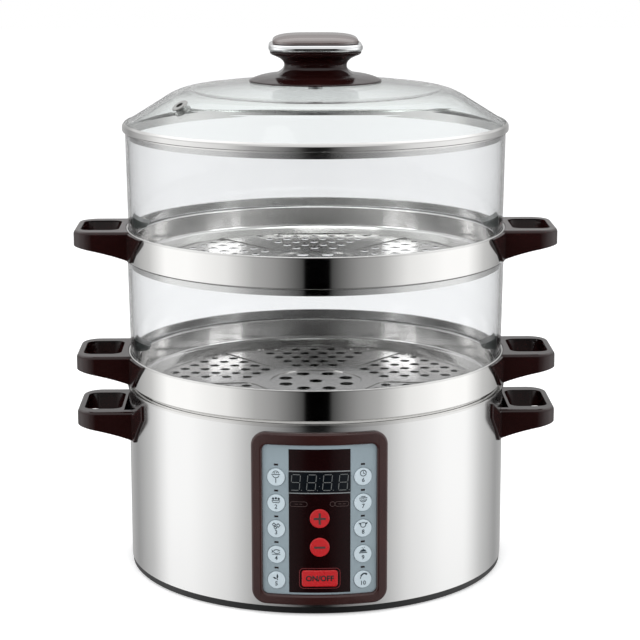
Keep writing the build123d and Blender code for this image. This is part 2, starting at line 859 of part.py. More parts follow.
with BuildPart() as knob_base:
    # Round flange that lies on the glass
    with BuildSketch(Plane.XZ):
        with BuildLine():
            flange_angle = degrees(asin(knob_flange_radius / crown_radius))
            under = CenterArc(
                (0, glass_top_z - crown_radius), crown_radius + snug_gap, 90, -flange_angle
            )
            Polyline(
                under @ 1,
                (knob_flange_radius, (under @ 1).Y + knob_flange_edge),
                (knob_cone_radius, glass_top_z + knob_cone_rise),
                (knob_foot_radius, glass_top_z + knob_foot_rise),
                (0, glass_top_z + knob_foot_rise),
                under @ 0,
            )
        make_face()
    revolve(axis=Axis.Z)
    # Neck: a foot that flares down, a straight waist, the throat and the head that opens out
    for bottom, top, grow, flare in (
        (knob_foot_rise - over, knob_waist_bottom, knob_foot_flare, -knob_foot_flare),
        (knob_waist_bottom, knob_waist_top, 0, 0),
        (knob_waist_top, knob_throat_rise, 0, knob_throat_flare),
        (knob_throat_rise, knob_head_rise, knob_throat_flare, knob_head_flare),
    ):
        with BuildSketch(Plane.XY.offset(glass_top_z + bottom)):
            size = knob_waist_size + 2 * grow
            RectangleRounded(size, size, knob_waist_corner + grow)
        extrude(amount=top - bottom, taper=-degrees(atan(flare / (top - bottom))))
    with BuildSketch(Plane.XY.offset(glass_top_z)):
        Circle(knob_screw_radius + pin_gap)
    extrude(amount=knob_screw_depth, mode=Mode.SUBTRACT)
keep(knob_base, "knob_base")

with BuildPart() as knob_ring:
    with BuildSketch(Plane.XY.offset(glass_top_z + knob_head_rise)):
        RectangleRounded(ring_size, ring_size, ring_corner)
    extrude(amount=ring_height)
    chamfer(knob_ring.edges().filter_by(Plane.XY), ring_bevel)
    with BuildSketch(Plane.XY.offset(glass_top_z + knob_head_rise)):
        RectangleRounded(plug_size + 2 * snug_gap, plug_size + 2 * snug_gap, plug_corner + snug_gap)
    extrude(amount=ring_height, mode=Mode.SUBTRACT)
keep(knob_ring, "knob_ring")

with BuildPart() as knob_cap:
    with BuildSketch(Plane.XY.offset(glass_top_z + knob_head_rise + ring_height)):
        RectangleRounded(cap_size, cap_size, cap_corner)
    extrude(amount=cap_height)
    fillet(knob_cap.edges().group_by(Axis.Z)[-1], cap_round)
    # Plug that fills the ring
    with BuildSketch(Plane.XY.offset(glass_top_z + knob_head_rise)):
        RectangleRounded(plug_size, plug_size, plug_corner)
    extrude(amount=ring_height)
keep(knob_cap, "knob_cap")

glass_under_z = glass_top_z - glass_sheet
washer_top_z = glass_under_z - sag(crown_radius - glass_sheet, washer_radius)
with BuildPart() as knob_washer:
    with BuildSketch(Plane.XY.offset(washer_top_z)):
        Circle(washer_radius)
        Circle(knob_screw_radius + key_gap, mode=Mode.SUBTRACT)
    extrude(amount=-washer_thickness)
keep(knob_washer, "knob_washer")

with BuildPart() as knob_screw:
    head_z = washer_top_z - washer_thickness
    with BuildSketch(Plane.XY.offset(head_z)):
        Circle(knob_screw_head_radius)
    extrude(amount=-knob_screw_head_height)
    with BuildSketch(Plane.XY.offset(head_z)):
        Circle(knob_screw_radius)
    extrude(amount=glass_top_z + knob_screw_depth - spare - head_z)
keep(knob_screw, "knob_screw")

# ---------------------------------------------------------------- control panel

with BuildPart() as panel_bezel:
    # Raised frame on the shell
    with BuildSketch(Plane.XZ.offset(shell_inner / 2)):
        with Locations((0, bezel_centre_z)):
            RectangleRounded(bezel_width, bezel_height, bezel_corner)
    extrude(amount=shell_radius)
    with BuildSketch(Plane.XY):
        Circle(bezel_face_radius)
        Circle(shell_radius + snug_gap, mode=Mode.SUBTRACT)
    extrude(amount=lid_seat_z, mode=Mode.INTERSECT)
    fillet(panel_bezel.faces().sort_by(Axis.Y)[0].edges(), bezel_round)
    # Skirt through the shell, and the lip behind the panel plate
    with BuildPart(mode=Mode.PRIVATE) as skirt:
        with BuildSketch(Plane.XZ.offset(shell_inner / 2)):
            with Locations((0, opening_centre_z)):
                RectangleRounded(
                    opening_width + 2 * bezel_skirt,
                    opening_height + 2 * bezel_skirt,
                    opening_corner + bezel_skirt,
                )
        extrude(amount=shell_radius)
        with BuildSketch(Plane.XY):
            Circle(shell_radius + 2 * snug_gap)
            Circle(bezel_skirt_radius, mode=Mode.SUBTRACT)
        extrude(amount=lid_seat_z, mode=Mode.INTERSECT)
    add(skirt.part)
    with BuildPart(mode=Mode.PRIVATE) as panel_room:
        with BuildSketch(Plane.XZ.offset(shell_inner / 2)):
            with Locations((0, opening_centre_z)):
                RectangleRounded(opening_width, opening_height, opening_corner)
        extrude(amount=shell_radius)
        with BuildSketch(Plane.XY):
            Circle(panel_inner_radius - snug_gap)
        extrude(amount=lid_seat_z, mode=Mode.SUBTRACT)
    add(panel_room.part, mode=Mode.SUBTRACT)
    with BuildSketch(Plane.XZ.offset(shell_inner / 2)):
        with Locations((0, opening_centre_z)):
            RectangleRounded(
                opening_width - 2 * bezel_lip,
                opening_height - 2 * bezel_lip,
                opening_corner - bezel_lip,
            )
    extrude(amount=shell_radius, mode=Mode.SUBTRACT)
    # Standoffs that carry the control board
    standoff_x = (opening_width - 2 * bezel_lip) / 2
    for row_z in standoff_rows:
        with BuildSketch(Plane.XZ.offset(board_face_y)):
            with Locations((0, row_z)):
                with GridLocations(2 * standoff_x + bezel_lip + bezel_skirt, 0, 2, 1):
                    Rectangle(bezel_lip + bezel_skirt, standoff_height)
        extrude(amount=sqrt(bezel_skirt_radius**2 - standoff_x**2) - board_face_y)
keep(panel_bezel, "panel_bezel")

side_keys = [(-key_azimuth, row_z) for row_z in key_rows]
side_keys += [(key_azimuth, row_z) for row_z in key_rows]


def curved_sheet(width, height, centre_z, corner, inner, outer):
    """A rounded rectangle seen from the front, cut from a sheet that is round about Z."""
    with BuildPart() as sheet:
        with BuildSketch(Plane.XZ.offset(inner / 2)):
            with Locations((0, centre_z)):
                RectangleRounded(width, height, corner)
        extrude(amount=inner)
        with BuildSketch(Plane.XY):
            Circle(outer)
            Circle(inner, mode=Mode.SUBTRACT)
        extrude(amount=lid_seat_z, mode=Mode.INTERSECT)
    return sheet.part


with BuildPart() as panel_plate:
    add(
        curved_sheet(
            opening_width - 2 * snug_gap,
            opening_height - 2 * snug_gap,
            opening_centre_z,
            opening_corner - snug_gap,
            panel_inner_radius,
            panel_face_radius,
        )
    )
    with BuildSketch(Plane.XZ.offset(shell_inner / 2)):
        with Locations((0, window_centre_z)):
            Rectangle(window_width + 2 * snug_gap, window_height + 2 * snug_gap)
    extrude(amount=shell_radius, mode=Mode.SUBTRACT)
    for azimuth, row_z in side_keys:
        with BuildSketch(panel_plane(azimuth, row_z)):
            Circle(key_radius + key_gap)
            with Locations((0, lamp_rise)):
                Rectangle(lamp_width + 2 * lamp_gap, lamp_height + 2 * lamp_gap)
        extrude(amount=2 * panel_sheet, both=True, mode=Mode.SUBTRACT)
keep(panel_plate, "panel_plate")

with BuildPart() as display_window:
    add(
        curved_sheet(
            window_width,
            window_height,
            window_centre_z,
            window_corner,
            panel_inner_radius,
            panel_face_radius + window_proud,
        )
    )
    for row_z in (plus_z, minus_z):
        with BuildSketch(panel_plane(0, row_z)):
            Circle(red_key_radius + key_gap)
        extrude(amount=2 * panel_sheet, both=True, mode=Mode.SUBTRACT)
    with BuildSketch(panel_plane(0, power_z)):
        RectangleRounded(
            power_width + 2 * key_gap, power_height + 2 * key_gap, power_corner + key_gap
        )
    extrude(amount=2 * panel_sheet, both=True, mode=Mode.SUBTRACT)
keep(display_window, "display_window")

with BuildPart() as control_board:
    with BuildSketch(Plane.XZ.offset(board_face_y)):
        with Locations((0, opening_centre_z)):
            Rectangle(board_width, board_height)
    extrude(amount=-board_thickness)
    # Processor on the back
    with BuildSketch(Plane.XZ.offset(board_face_y - board_thickness)):
        with Locations((0, opening_centre_z)):
            Rectangle(chip_width, chip_height)
    extrude(amount=-chip_thickness)
keep(control_board, "control_board")

with BuildPart() as display_module:
    with BuildSketch(Plane.XZ.offset(board_face_y)):
        with Locations((0, display_centre_z)):
            Rectangle(display_width, display_height)
    depth = panel_inner_radius - sag(panel_inner_radius, display_width / 2) - board_face_y - key_gap
    extrude(amount=depth)
keep(display_module, "display_module")

stem_reach = switch_top_y / cos(radians(key_azimuth))
switch_places = [(stem_reach * sin(radians(azimuth)), row_z) for azimuth, row_z in side_keys]
switch_places += [(0, plus_z), (0, minus_z), (0, power_z)]
with BuildPart() as tact_switches:
    with BuildSketch(Plane.XZ.offset(board_face_y)):
        with Locations(*switch_places):
            Rectangle(switch_size, switch_size)
    extrude(amount=switch_height)
    with BuildSketch(Plane.XZ.offset(board_face_y + switch_height)):
        with Locations(*switch_places):
            RegularPolygon(plunger_radius, plunger_sides)
    extrude(amount=plunger_height)
keep(tact_switches, "tact_switches")

with BuildPart() as indicator_lamps:
    lamp_length = panel_face_radius - (board_face_y + key_gap) / cos(radians(key_azimuth))
    for azimuth, row_z in side_keys:
        with BuildSketch(panel_plane(azimuth, row_z + lamp_rise)):
            Rectangle(lamp_width, lamp_height)
        extrude(amount=-lamp_length)
keep(indicator_lamps, "indicator_lamps")


def make_key(name, azimuth, centre_z, width, height, corner):
    """A key that slides in its hole: cap, retaining flange behind the panel and stem."""
    face = panel_plane(azimuth, centre_z)
    half = width / 2 + key_flange
    flange_top = -panel_sheet - key_gap - sag(panel_inner_radius, half)
    stem_end = switch_top_y / cos(radians(azimuth)) + stem_gap - panel_face_radius
    stem_end += stem_radius * tan(radians(abs(azimuth)))
    with BuildPart() as key:
        for bottom, top, grow in (
            (flange_top, key_proud, 0),
            (flange_top - key_flange_height, flange_top, key_flange),
        ):
            with BuildSketch(face.offset(bottom)):
                RectangleRounded(width + 2 * grow, height + 2 * grow, corner + grow)
            extrude(amount=top - bottom)
        chamfer(key.faces().sort_by(Axis((0, 0, 0), face.z_dir))[-1].edges(), key_bevel)
        with BuildSketch(face.offset(flange_top)):
            Circle(stem_radius)
        extrude(amount=stem_end - flange_top)
    keep(key, name)


def make_round_key(name, azimuth, centre_z, radius):
    """The same key with a round cap."""
    face = panel_plane(azimuth, centre_z)
    flange_top = -panel_sheet - key_gap - sag(panel_inner_radius, radius + key_flange)
    stem_end = switch_top_y / cos(radians(azimuth)) + stem_gap - panel_face_radius
    stem_end += stem_radius * tan(radians(abs(azimuth)))
    with BuildPart() as key:
        with BuildSketch(face.offset(flange_top)):
            Circle(radius)
        extrude(amount=key_proud - flange_top)
        chamfer(key.faces().sort_by(Axis((0, 0, 0), face.z_dir))[-1].edges(), key_bevel)
        with BuildSketch(face.offset(flange_top)):
            Circle(radius + key_flange)
        extrude(amount=-key_flange_height)
        with BuildSketch(face.offset(flange_top)):
            Circle(stem_radius)
        extrude(amount=stem_end - flange_top)
    keep(key, name)


for number, (azimuth, row_z) in enumerate(side_keys, start=1):
    make_round_key(f"key_{number}", azimuth, row_z, key_radius)
make_round_key("key_plus", 0, plus_z, red_key_radius)
make_round_key("key_minus", 0, minus_z, red_key_radius)
make_key("key_power", 0, power_z, power_width, power_height, power_corner)

# ---------------------------------------------------------------- power board and inlet

with BuildPart() as power_board:
    with BuildSketch(Plane.XY.offset(post_top_z)):
        with Locations((0, power_board_y)):
            Rectangle(power_board_width, power_board_depth)
    extrude(amount=board_thickness)
    # Relay, transformer, terminal block and capacitor
    with BuildSketch(Plane.XY.offset(post_top_z + board_thickness)):
        with Locations((-power_board_width * 0.3, power_board_y + power_board_depth / 6)):
            Rectangle(*relay_size)
        with Locations((power_board_width * 0.28, power_board_y - power_board_depth / 12)):
            Rectangle(*transformer_size)
        with Locations((0, power_board_y + power_board_depth * 0.38)):
            Rectangle(*terminal_size)
        with Locations((-capacitor_radius / 2, power_board_y - power_board_depth / 8)):
            Circle(capacitor_radius)
    extrude(amount=component_height)
keep(power_board, "power_board")

with BuildPart() as power_inlet:
    # Flange whose back follows the shell, the body behind it and the socket
    with BuildSketch(Plane.XZ.offset(-inlet_face_y)):
        with Locations((0, inlet_z)):
            RectangleRounded(inlet_flange_width, inlet_flange_height, inlet_corner)
    extrude(amount=inlet_face_y / 2)
    chamfer(power_inlet.faces().sort_by(Axis.Y)[-1].edges(), inlet_edge)
    with BuildSketch(Plane.XY.offset(inlet_z - inlet_flange_height)):
        Circle(shell_radius + snug_gap)
    extrude(amount=2 * inlet_flange_height, mode=Mode.SUBTRACT)
    with BuildSketch(Plane.XZ.offset(-inlet_face_y + over)):
        with Locations((0, inlet_z)):
            Rectangle(inlet_body_width, inlet_body_height)
    extrude(amount=inlet_body_depth - over)
    with BuildSketch(Plane.XZ.offset(-inlet_face_y)):
        with Locations((0, inlet_z)):
            RectangleRounded(socket_width, socket_height, socket_corner)
    extrude(amount=socket_depth, mode=Mode.SUBTRACT)
    with BuildSketch(Plane.XZ.offset(-inlet_face_y + socket_depth)):
        with Locations((0, inlet_z - blade_drop)):
            with GridLocations(blade_spacing, 0, 3, 1):
                Rectangle(blade_width + 2 * pin_gap, blade_height + 2 * pin_gap)
    extrude(amount=inlet_body_depth, mode=Mode.SUBTRACT)
keep(power_inlet, "power_inlet")

with BuildPart() as inlet_pins:
    with BuildSketch(Plane.XZ.offset(-inlet_face_y + socket_depth - blade_length)):
        with Locations((0, inlet_z - blade_drop)):
            with GridLocations(blade_spacing, 0, 3, 1):
                Rectangle(blade_width, blade_height)
    extrude(amount=blade_length + inlet_body_depth - socket_depth + blade_tail)
keep(inlet_pins, "inlet_pins")
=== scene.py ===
from math import asin, atan, cos, degrees, pi, radians, sin, sqrt

import bmesh
import bpy
from mathutils import Matrix, Vector


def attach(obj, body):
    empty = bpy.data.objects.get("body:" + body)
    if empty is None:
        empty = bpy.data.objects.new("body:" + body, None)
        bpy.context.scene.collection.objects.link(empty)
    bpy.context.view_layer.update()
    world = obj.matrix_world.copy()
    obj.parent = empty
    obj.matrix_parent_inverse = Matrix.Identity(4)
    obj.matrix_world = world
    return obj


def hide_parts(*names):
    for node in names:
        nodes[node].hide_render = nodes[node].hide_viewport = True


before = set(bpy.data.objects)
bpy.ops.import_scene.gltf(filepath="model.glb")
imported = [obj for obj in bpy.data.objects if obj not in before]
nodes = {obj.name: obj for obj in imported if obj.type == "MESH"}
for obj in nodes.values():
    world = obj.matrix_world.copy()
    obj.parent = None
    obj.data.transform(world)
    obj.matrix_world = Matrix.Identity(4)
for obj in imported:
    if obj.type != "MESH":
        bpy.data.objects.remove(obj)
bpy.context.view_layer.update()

# -------- sizes, in millimetres

MM = 0.001
SAME_PLACE = 0.001 * MM
ROUND_STEPS = 192

FIRST_SEAT = 134.5
TIER_PITCH = 92.5
TIERS = (("lower", FIRST_SEAT), ("upper", FIRST_SEAT + TIER_PITCH))
LIP_RADIUS, LIP_HEIGHT = 136.5, 4.9
HOOP_RADIUS, HOOP_HEIGHT = 139.8, 26.0
RIM_HEIGHT, LEDGE_HEIGHT = 27.5, 20.4
BEAD_RADIUS, RISER_RADIUS = 140.0, 138.35
PAN_RADIUS, PAN_FOOT = 133.0, 4.3
SHEET = 0.7
PLATE_SEAT_INNER = 114.0
PLATE_RADIUS, PLATE_TOP, PLATE_SHEET = 121.4, 0.6, 0.8
WALL_FOOT, WALL_THICK = 138.1, 2.4
LID_SEAT = FIRST_SEAT + 2 * TIER_PITCH + LIP_HEIGHT
GLASS_EDGE = (140.3, LID_SEAT + 6.0)
GLASS_SLOPE = 0.62
CROWN_RADIUS = 681.0
GLASS_TOP = 362.19
HANDLE_REACH, HANDLE_CORNER, SIDE_WALL, END_WALL = 177.2, 14.0, 7.5, 5.0
HANDLE_WALL = 140.1
ROOT_HEIGHT, END_HEIGHT = 21.5, 11.0
GRIP_START = 100.0  # inside the round wall, which trims the grip
SWEEP_START, SWEEP_MIDDLE, SWEEP_RISE = 136.8, 155.0, 5.7
EDGE_ROLL, HOLE_ROLL = 2.4, 1.8
HOLE_CORNER = 8.0
HOLE_TAPER = (0.94, 0.82)
WELL_END = 142.5
WING = 1.6
PANEL_FACE = 140.6
PANEL_MIDDLE_Z = 69.3
KEY_AZIMUTH = 12.35
KEY_ROWS = (100.1, 81.45, 62.8, 44.15, 25.5)
KEY_PROUD = 0.9
PLUS_Z, MINUS_Z, POWER_Z = 70.9, 50.1, 27.4
DISPLAY_Z, MARKS_Z = 96.9, 81.3
WINDOW_FACE = 140.75
LENS_PROUD, FIGURES_PROUD, MARKS_PROUD = 0.35, 0.38, 0.14
PRINT_GAP = 0.01


def metres(*values):
    """A point given in millimetres."""
    return Vector([v * MM for v in values])


# -------- hand tools


def alone(piece=None):
    """Leave only this piece selected."""
    if bpy.context.object and bpy.context.object.mode != "OBJECT":
        bpy.ops.object.mode_set(mode="OBJECT")
    bpy.ops.object.select_all(action="DESELECT")
    if piece:
        piece.select_set(True)
        bpy.context.view_layer.objects.active = piece
    return piece


def open_up(piece, kind):
    """Go into edit mode on a piece with nothing selected."""
    alone(piece)
    bpy.ops.object.mode_set(mode="EDIT")
    bpy.ops.mesh.select_mode(type=kind)
    bpy.ops.mesh.select_all(action="DESELECT")


def open_whole(piece, kind="VERT"):
    """Go into edit mode on a piece with all of it selected."""
    open_up(piece, kind)
    bpy.ops.mesh.select_all(action="SELECT")


def pick(piece, kind, wanted):
    """Select the corners, edges or faces of the open piece that pass the test."""
    mesh = bmesh.from_edit_mesh(piece.data)
    for part in getattr(mesh, kind):
        part.select_set(bool(wanted(part)))
    mesh.select_flush_mode()
    bmesh.update_edit_mesh(piece.data)


def pull(*push):
    """Extrude what is selected in the open piece."""
    bpy.ops.mesh.extrude_region_move(TRANSFORM_OT_translate={"value": metres(*push)})


def close_up():
    """Leave edit mode."""
    bpy.ops.object.mode_set(mode="OBJECT")


def tidy_shell(piece, gap=0.002):
    """Merge doubles and turn every face outwards."""
    open_whole(piece)
    bpy.ops.mesh.remove_doubles(threshold=gap * MM)
    bpy.ops.mesh.normals_make_consistent(inside=False)
    close_up()
    return piece


def settle(piece):
    """Bake a piece's place into its mesh."""
    alone(piece)
    bpy.ops.object.transform_apply(location=True, rotation=True, scale=True)
    return piece


def change(piece, kind, **settings):
    """Give a piece a modifier with these settings and make it part of the mesh."""
    alone(piece)
    modifier = piece.modifiers.new("change", kind)
    for key, value in settings.items():
        setattr(modifier, key, value)
    bpy.ops.object.modifier_apply(modifier=modifier.name)
    return piece


def carve(piece, cutter, how="DIFFERENCE"):
    """Cut a piece with another, or weld the two, and throw the second away."""
    change(piece, "BOOLEAN", operation=how, object=cutter, solver="EXACT")
    bpy.data.objects.remove(cutter)
    return piece


def soften(piece, width, segments=3):
    """Round off the sharp edges of a finished form."""
    return change(
        piece, "BEVEL", width=width * MM, segments=segments,
        limit_method="ANGLE", angle_limit=radians(35), use_clamp_overlap=True,
    )


def split_up(piece):
    """Turn the large pierced faces of a piece into plain triangles."""
    return change(piece, "TRIANGULATE", min_vertices=5)


def copied(piece, name):
    """A copy of a piece with its own mesh."""
    twin = piece.copy()
    twin.data = piece.data.copy()
    twin.name = name
    bpy.context.scene.collection.objects.link(twin)
    return twin


def flipped(piece, name):
    """The left-hand twin of a right-hand piece."""
    twin = copied(piece, name)
    twin.scale.x = -1
    settle(twin)
    return tidy_shell(twin)


def raised(piece, name, height):
    """A copy of a piece, higher up."""
    twin = copied(piece, name)
    twin.location.z += height * MM
    return settle(twin)


def joined(parts, name):
    """Several loose parts as one piece."""
    alone()
    for part in parts:
        part.select_set(True)
    bpy.context.view_layer.objects.active = parts[0]
    if len(parts) > 1:
        bpy.ops.object.join()
    parts[0].name = name
    return parts[0]


def deliver(piece, name, body, finish, stands_for=(), angle=32):
    """Name a finished piece, smooth it, give it its finish and hang it on its body."""
    settle(piece)
    piece.name = name
    piece.data.name = name
    if angle:
        bpy.ops.object.shade_smooth_by_angle(angle=radians(angle))
        change(piece, "WEIGHTED_NORMAL", keep_sharp=True)
    piece.data.materials.clear()
    piece.data.materials.append(finish)
    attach(piece, body)
    if stands_for:
        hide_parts(*stands_for)
    return piece


def drawn(name, corners, rounded=()):
    """Draw a closed outline of (x, y, z) corners in millimetres and fill it.
    rounded holds (corner number, radius, segments) for the corners that aren't sharp."""
    alone()
    bpy.ops.mesh.primitive_plane_add(size=MM)
    piece = bpy.context.object
    piece.name = name
    open_whole(piece)
    bpy.ops.mesh.merge(type="CENTER")
    bpy.ops.transform.translate(value=metres(*corners[0]))
    for corner, following in zip(corners, corners[1:]):
        step = metres(*following) - metres(*corner)
        bpy.ops.mesh.extrude_vertices_move(TRANSFORM_OT_translate={"value": step})
    ends = (metres(*corners[0]), metres(*corners[-1]))
    pick(piece, "verts", lambda v: min((v.co - end).length for end in ends) < SAME_PLACE)
    bpy.ops.mesh.edge_face_add()
    bpy.ops.mesh.select_all(action="SELECT")
    bpy.ops.mesh.edge_face_add()
    for number, radius, segments in rounded:
        corner = metres(*corners[number])
        pick(piece, "verts", lambda v: (v.co - corner).length < SAME_PLACE)
        bpy.ops.mesh.bevel(
            offset=radius * MM, offset_type="OFFSET", segments=segments, affect="VERTICES"
        )
    close_up()
    return piece


def pushed(piece, *push):
    """Pull a flat outline out into a closed slab."""
    open_whole(piece, "FACE")
    pull(*push)
    close_up()
    return tidy_shell(piece, 0.0005)


def lathe(name, section, rounded, steps=ROUND_STEPS):
    """Draw a closed half section of (radius, height) points and spin it round the upright axis."""
    piece = drawn(name, [(radius, 0, height) for radius, height in section], rounded)
    open_whole(piece)
    bpy.ops.mesh.delete(type="ONLY_FACE")
    bpy.ops.mesh.select_all(action="SELECT")
    bpy.ops.mesh.spin(steps=steps, angle=2 * pi, center=(0, 0, 0), axis=(0, 0, 1))
    close_up()
    return tidy_shell(piece)


def both_faces(line, thick):
    """The closed outline of a bent sheet: its first face, and its second one thick to the right."""
    second, least_lean = [], 0.2
    for number, (x, y) in enumerate(line):
        here = Vector((x, y))
        before = (here - Vector(line[number - 1])).normalized() if number else None
        after = (Vector(line[number + 1]) - here).normalized() if number + 1 < len(line) else None
        before, after = before or after, after or before
        way = (before + after).normalized()
        reach = thick / max(least_lean, way.dot(before))
        second.append((x + way.y * reach, y - way.x * reach))
    return list(line) + second[::-1]


def bent_sheet(name, line, thick, bends):
    """A round drawn sheet from the line of its first face; bends gives (point, radius) there."""
    count, least_radius = len(line), 0.12
    rounded = []
    for number, radius in bends:
        here = Vector(line[number])
        before, after = here - Vector(line[number - 1]), Vector(line[number + 1]) - here
        inwards = before.x * after.y - before.y * after.x < 0
        other = max(least_radius, radius - thick) if inwards else radius + thick
        rounded += [(number, radius, 3), (2 * count - 1 - number, other, 3)]
    return lathe(name, both_faces(line, thick), rounded)


def bow(start, middle, end, steps):
    """Points along the slight curve from start to end that passes through middle."""
    handle = [2 * m - (a + b) / 2 for a, m, b in zip(start, middle, end)]
    spans = list(zip(start, handle, end))
    points = []
    for step in range(steps + 1):
        t = step / steps
        points.append(tuple((1 - t) ** 2 * a + 2 * t * (1 - t) * h + t**2 * b for a, h, b in spans))
    return points


def drum(radius, low, high, steps=ROUND_STEPS):
    """A plain round cutter about the upright axis."""
    alone()
    bpy.ops.mesh.primitive_cylinder_add(
        vertices=steps,
        radius=radius * MM,
        depth=(high - low) * MM,
        location=metres(0, 0, (low + high) / 2),
    )
    return settle(bpy.context.object)


def board(name, width, height, corner, segments=6):
    """A flat rounded rectangle that lies at the origin and faces up."""
    alone()
    bpy.ops.mesh.primitive_plane_add(size=1)
    piece = bpy.context.object
    piece.name = name
    piece.scale = (width * MM, height * MM, 1)
    settle(piece)
    if corner:
        open_whole(piece)
        bpy.ops.mesh.bevel(
            offset=corner * MM, offset_type="OFFSET", segments=segments, affect="VERTICES"
        )
        close_up()
    return piece


def stacked(name, sections, corner, segments=10, across=0.0):
    """A closed rounded form that runs up through (height, width, depth) sections."""
    bottom, width, depth = sections[0]
    piece = board(name, width, depth, corner, segments)
    piece.location = metres(across, 0, bottom)
    settle(piece)
    open_whole(piece, "FACE")
    for (low, width, depth), (high, next_width, next_depth) in zip(sections, sections[1:]):
        pull(0, 0, high - low)
        if (width, depth) != (next_width, next_depth):
            bpy.ops.transform.resize(value=(next_width / width, next_depth / depth, 1))
    close_up()
    return tidy_shell(piece)


def block(name, width, depth, thick, corner, bottom=0.0, segments=6, across=0.0):
    """A closed rounded block from bottom up to bottom + thick, across to the right."""
    sections = ((bottom, width, depth), (bottom + thick, width, depth))
    return stacked(name, sections, corner, segments, across)


def rolled_block(name, width, depth, thick, corner, bottom, across, roll, way=-1):
    """A rounded block whose top edge rolls in (way -1), or flares out to cut such an edge (1)."""
    sections = [(bottom, width, depth), (bottom + thick - roll, width, depth)]
    steps, past_top = 4, 1.0
    for step in range(1, steps + 1):
        turn = pi / 2 * step / steps
        height, shift = bottom + thick - roll * (1 - sin(turn)), 2 * way * roll * (1 - cos(turn))
        sections.append((height, width + shift, depth + shift))
    if way > 0:
        height, *size = sections[-1]
        sections.append((height + past_top, *size))
    return stacked(name, sections, corner, 9, across)


# -------- finishes


class Nodes:
    """The shader nodes of one material or of the world, and their links."""

    def __init__(self, tree):
        self.tree = tree
        tree.nodes.clear()

    def add(self, kind, **settings):
        node = self.tree.nodes.new(kind)
        for key, value in settings.items():
            setattr(node, key, value)
        return node

    def link(self, source, out, target, into):
        self.tree.links.new(source.outputs[out], target.inputs[into])

    def maths(self, operation, *values):
        """A sum over plain numbers and (node, output) pairs."""
        node = self.add("ShaderNodeMath", operation=operation)
        for number, value in enumerate(values):
            if isinstance(value, tuple):
                self.link(*value, node, number)
            else:
                node.inputs[number].default_value = value
        return node

    def ramp(self, source, out, stops):
        """Shades along a value; stops holds (value, shade), where a shade is grey or a colour."""
        ramp = self.add("ShaderNodeValToRGB")
        points = ramp.color_ramp.elements
        while len(points) < len(stops):
            points.new(0.5)
        for point, (place, shade) in zip(points, stops):
            point.position = place
            point.color = (*shade, 1) if isinstance(shade, tuple) else (shade, shade, shade, 1)
        self.link(source, out, ramp, "Fac")
        return ramp

    def step(self, source, out, low, high, least=0.0):
        """A rise from least to 1 while a value goes from low to high."""
        node = self.add("ShaderNodeMapRange")
        self.link(source, out, node, "Value")
        for socket, value in (("From Min", low), ("From Max", high), ("To Min", least)):
            node.inputs[socket].default_value = value
        return node

    def mixed(self, share, out, first, second):
        """One shader where the share is 0, and another where it is 1."""
        mix = self.add("ShaderNodeMixShader")
        self.link(share, out, mix, 0)
        self.link(first, 0, mix, 1)
        self.link(second, 0, mix, 2)
        return mix

    def glow(self, kind, strength, colour=(1, 1, 1)):
        """An even light, as an emission or a background."""
        node = self.add(kind)
        node.inputs["Color"].default_value = (*colour, 1)
        node.inputs["Strength"].default_value = strength
        return node


class Finish(Nodes):
    """A material that is built up from nodes around one Principled shader."""

    def __init__(self, name, colour, rough, **sockets):
        self.material = bpy.data.materials.new(name)
        self.material.use_nodes = True
        super().__init__(self.material.node_tree)
        self.shader = self.add("ShaderNodeBsdfPrincipled")
        self.output = self.add("ShaderNodeOutputMaterial")
        self.link(self.shader, "BSDF", self.output, "Surface")
        self.shader.inputs["Base Color"].default_value = (*colour, 1)
        self.shader.inputs["Roughness"].default_value = rough
        for socket, value in sockets.items():
            self.shader.inputs[socket.replace("_", " ")].default_value = value
        self.place = self.add("ShaderNodeTexCoord")

    def pattern(self, scale, stretch=(1, 1, 1), detail=4.0):
        """A noise on the piece itself, stretched along its axes."""
        mapping = self.add("ShaderNodeMapping")
        mapping.inputs["Scale"].default_value = stretch
        self.link(self.place, "Object", mapping, "Vector")
        noise = self.add("ShaderNodeTexNoise")
        for socket, value in (("Scale", scale), ("Detail", detail), ("Roughness", 0.55)):
            noise.inputs[socket].default_value = value
        self.link(mapping, "Vector", noise, "Vector")
        return noise

    def drift(self, socket, noise, low, high):
        """Let a pattern drift one property of the surface between two values."""
        start, stop = 0.3, 0.7
        self.link(self.ramp(noise, 0, ((start, low), (stop, high))), "Color", self.shader, socket)

    def relief(self, noise, strength, distance):
        """Let a pattern raise a fine relief; the distance is in metres."""
        bump = self.add("ShaderNodeBump")
        bump.inputs["Strength"].default_value = strength
        bump.inputs["Distance"].default_value = distance
        self.link(noise, 0, bump, "Height")
        self.link(bump, "Normal", self.shader, "Normal")

    def let_lamps_through(self, clear):
        """Clear stock passes the light of the lamps on to what stands inside it."""
        path = self.add("ShaderNodeLightPath")
        open_air = self.add("ShaderNodeBsdfTransparent")
        open_air.inputs["Color"].default_value = (*clear, 1)
        seen = self.mixed(path, "Is Shadow Ray", self.shader, open_air)
        self.link(seen, 0, self.output, "Surface")


def brighter(colour, lift):
    """A colour times lift, no part of it above 1."""
    return tuple(min(1.0, part * lift) for part in colour)


def steel(name, colour, low, high, brush=0.05, smudge=6.0):
    """Rolled stainless sheet: fine rings of brushing and soft cloudy handling marks."""
    finish = Finish(name, colour, (low + high) / 2, Metallic=1.0)
    rings = finish.pattern(900, stretch=(0.03, 0.03, 1.0), detail=3)
    clouds = finish.pattern(smudge, detail=5)
    finish.drift("Roughness", clouds, low, high)
    finish.drift("Base Color", clouds, colour, brighter(colour, 1.04))
    finish.relief(rings, brush, distance=0.00005)
    return finish.material


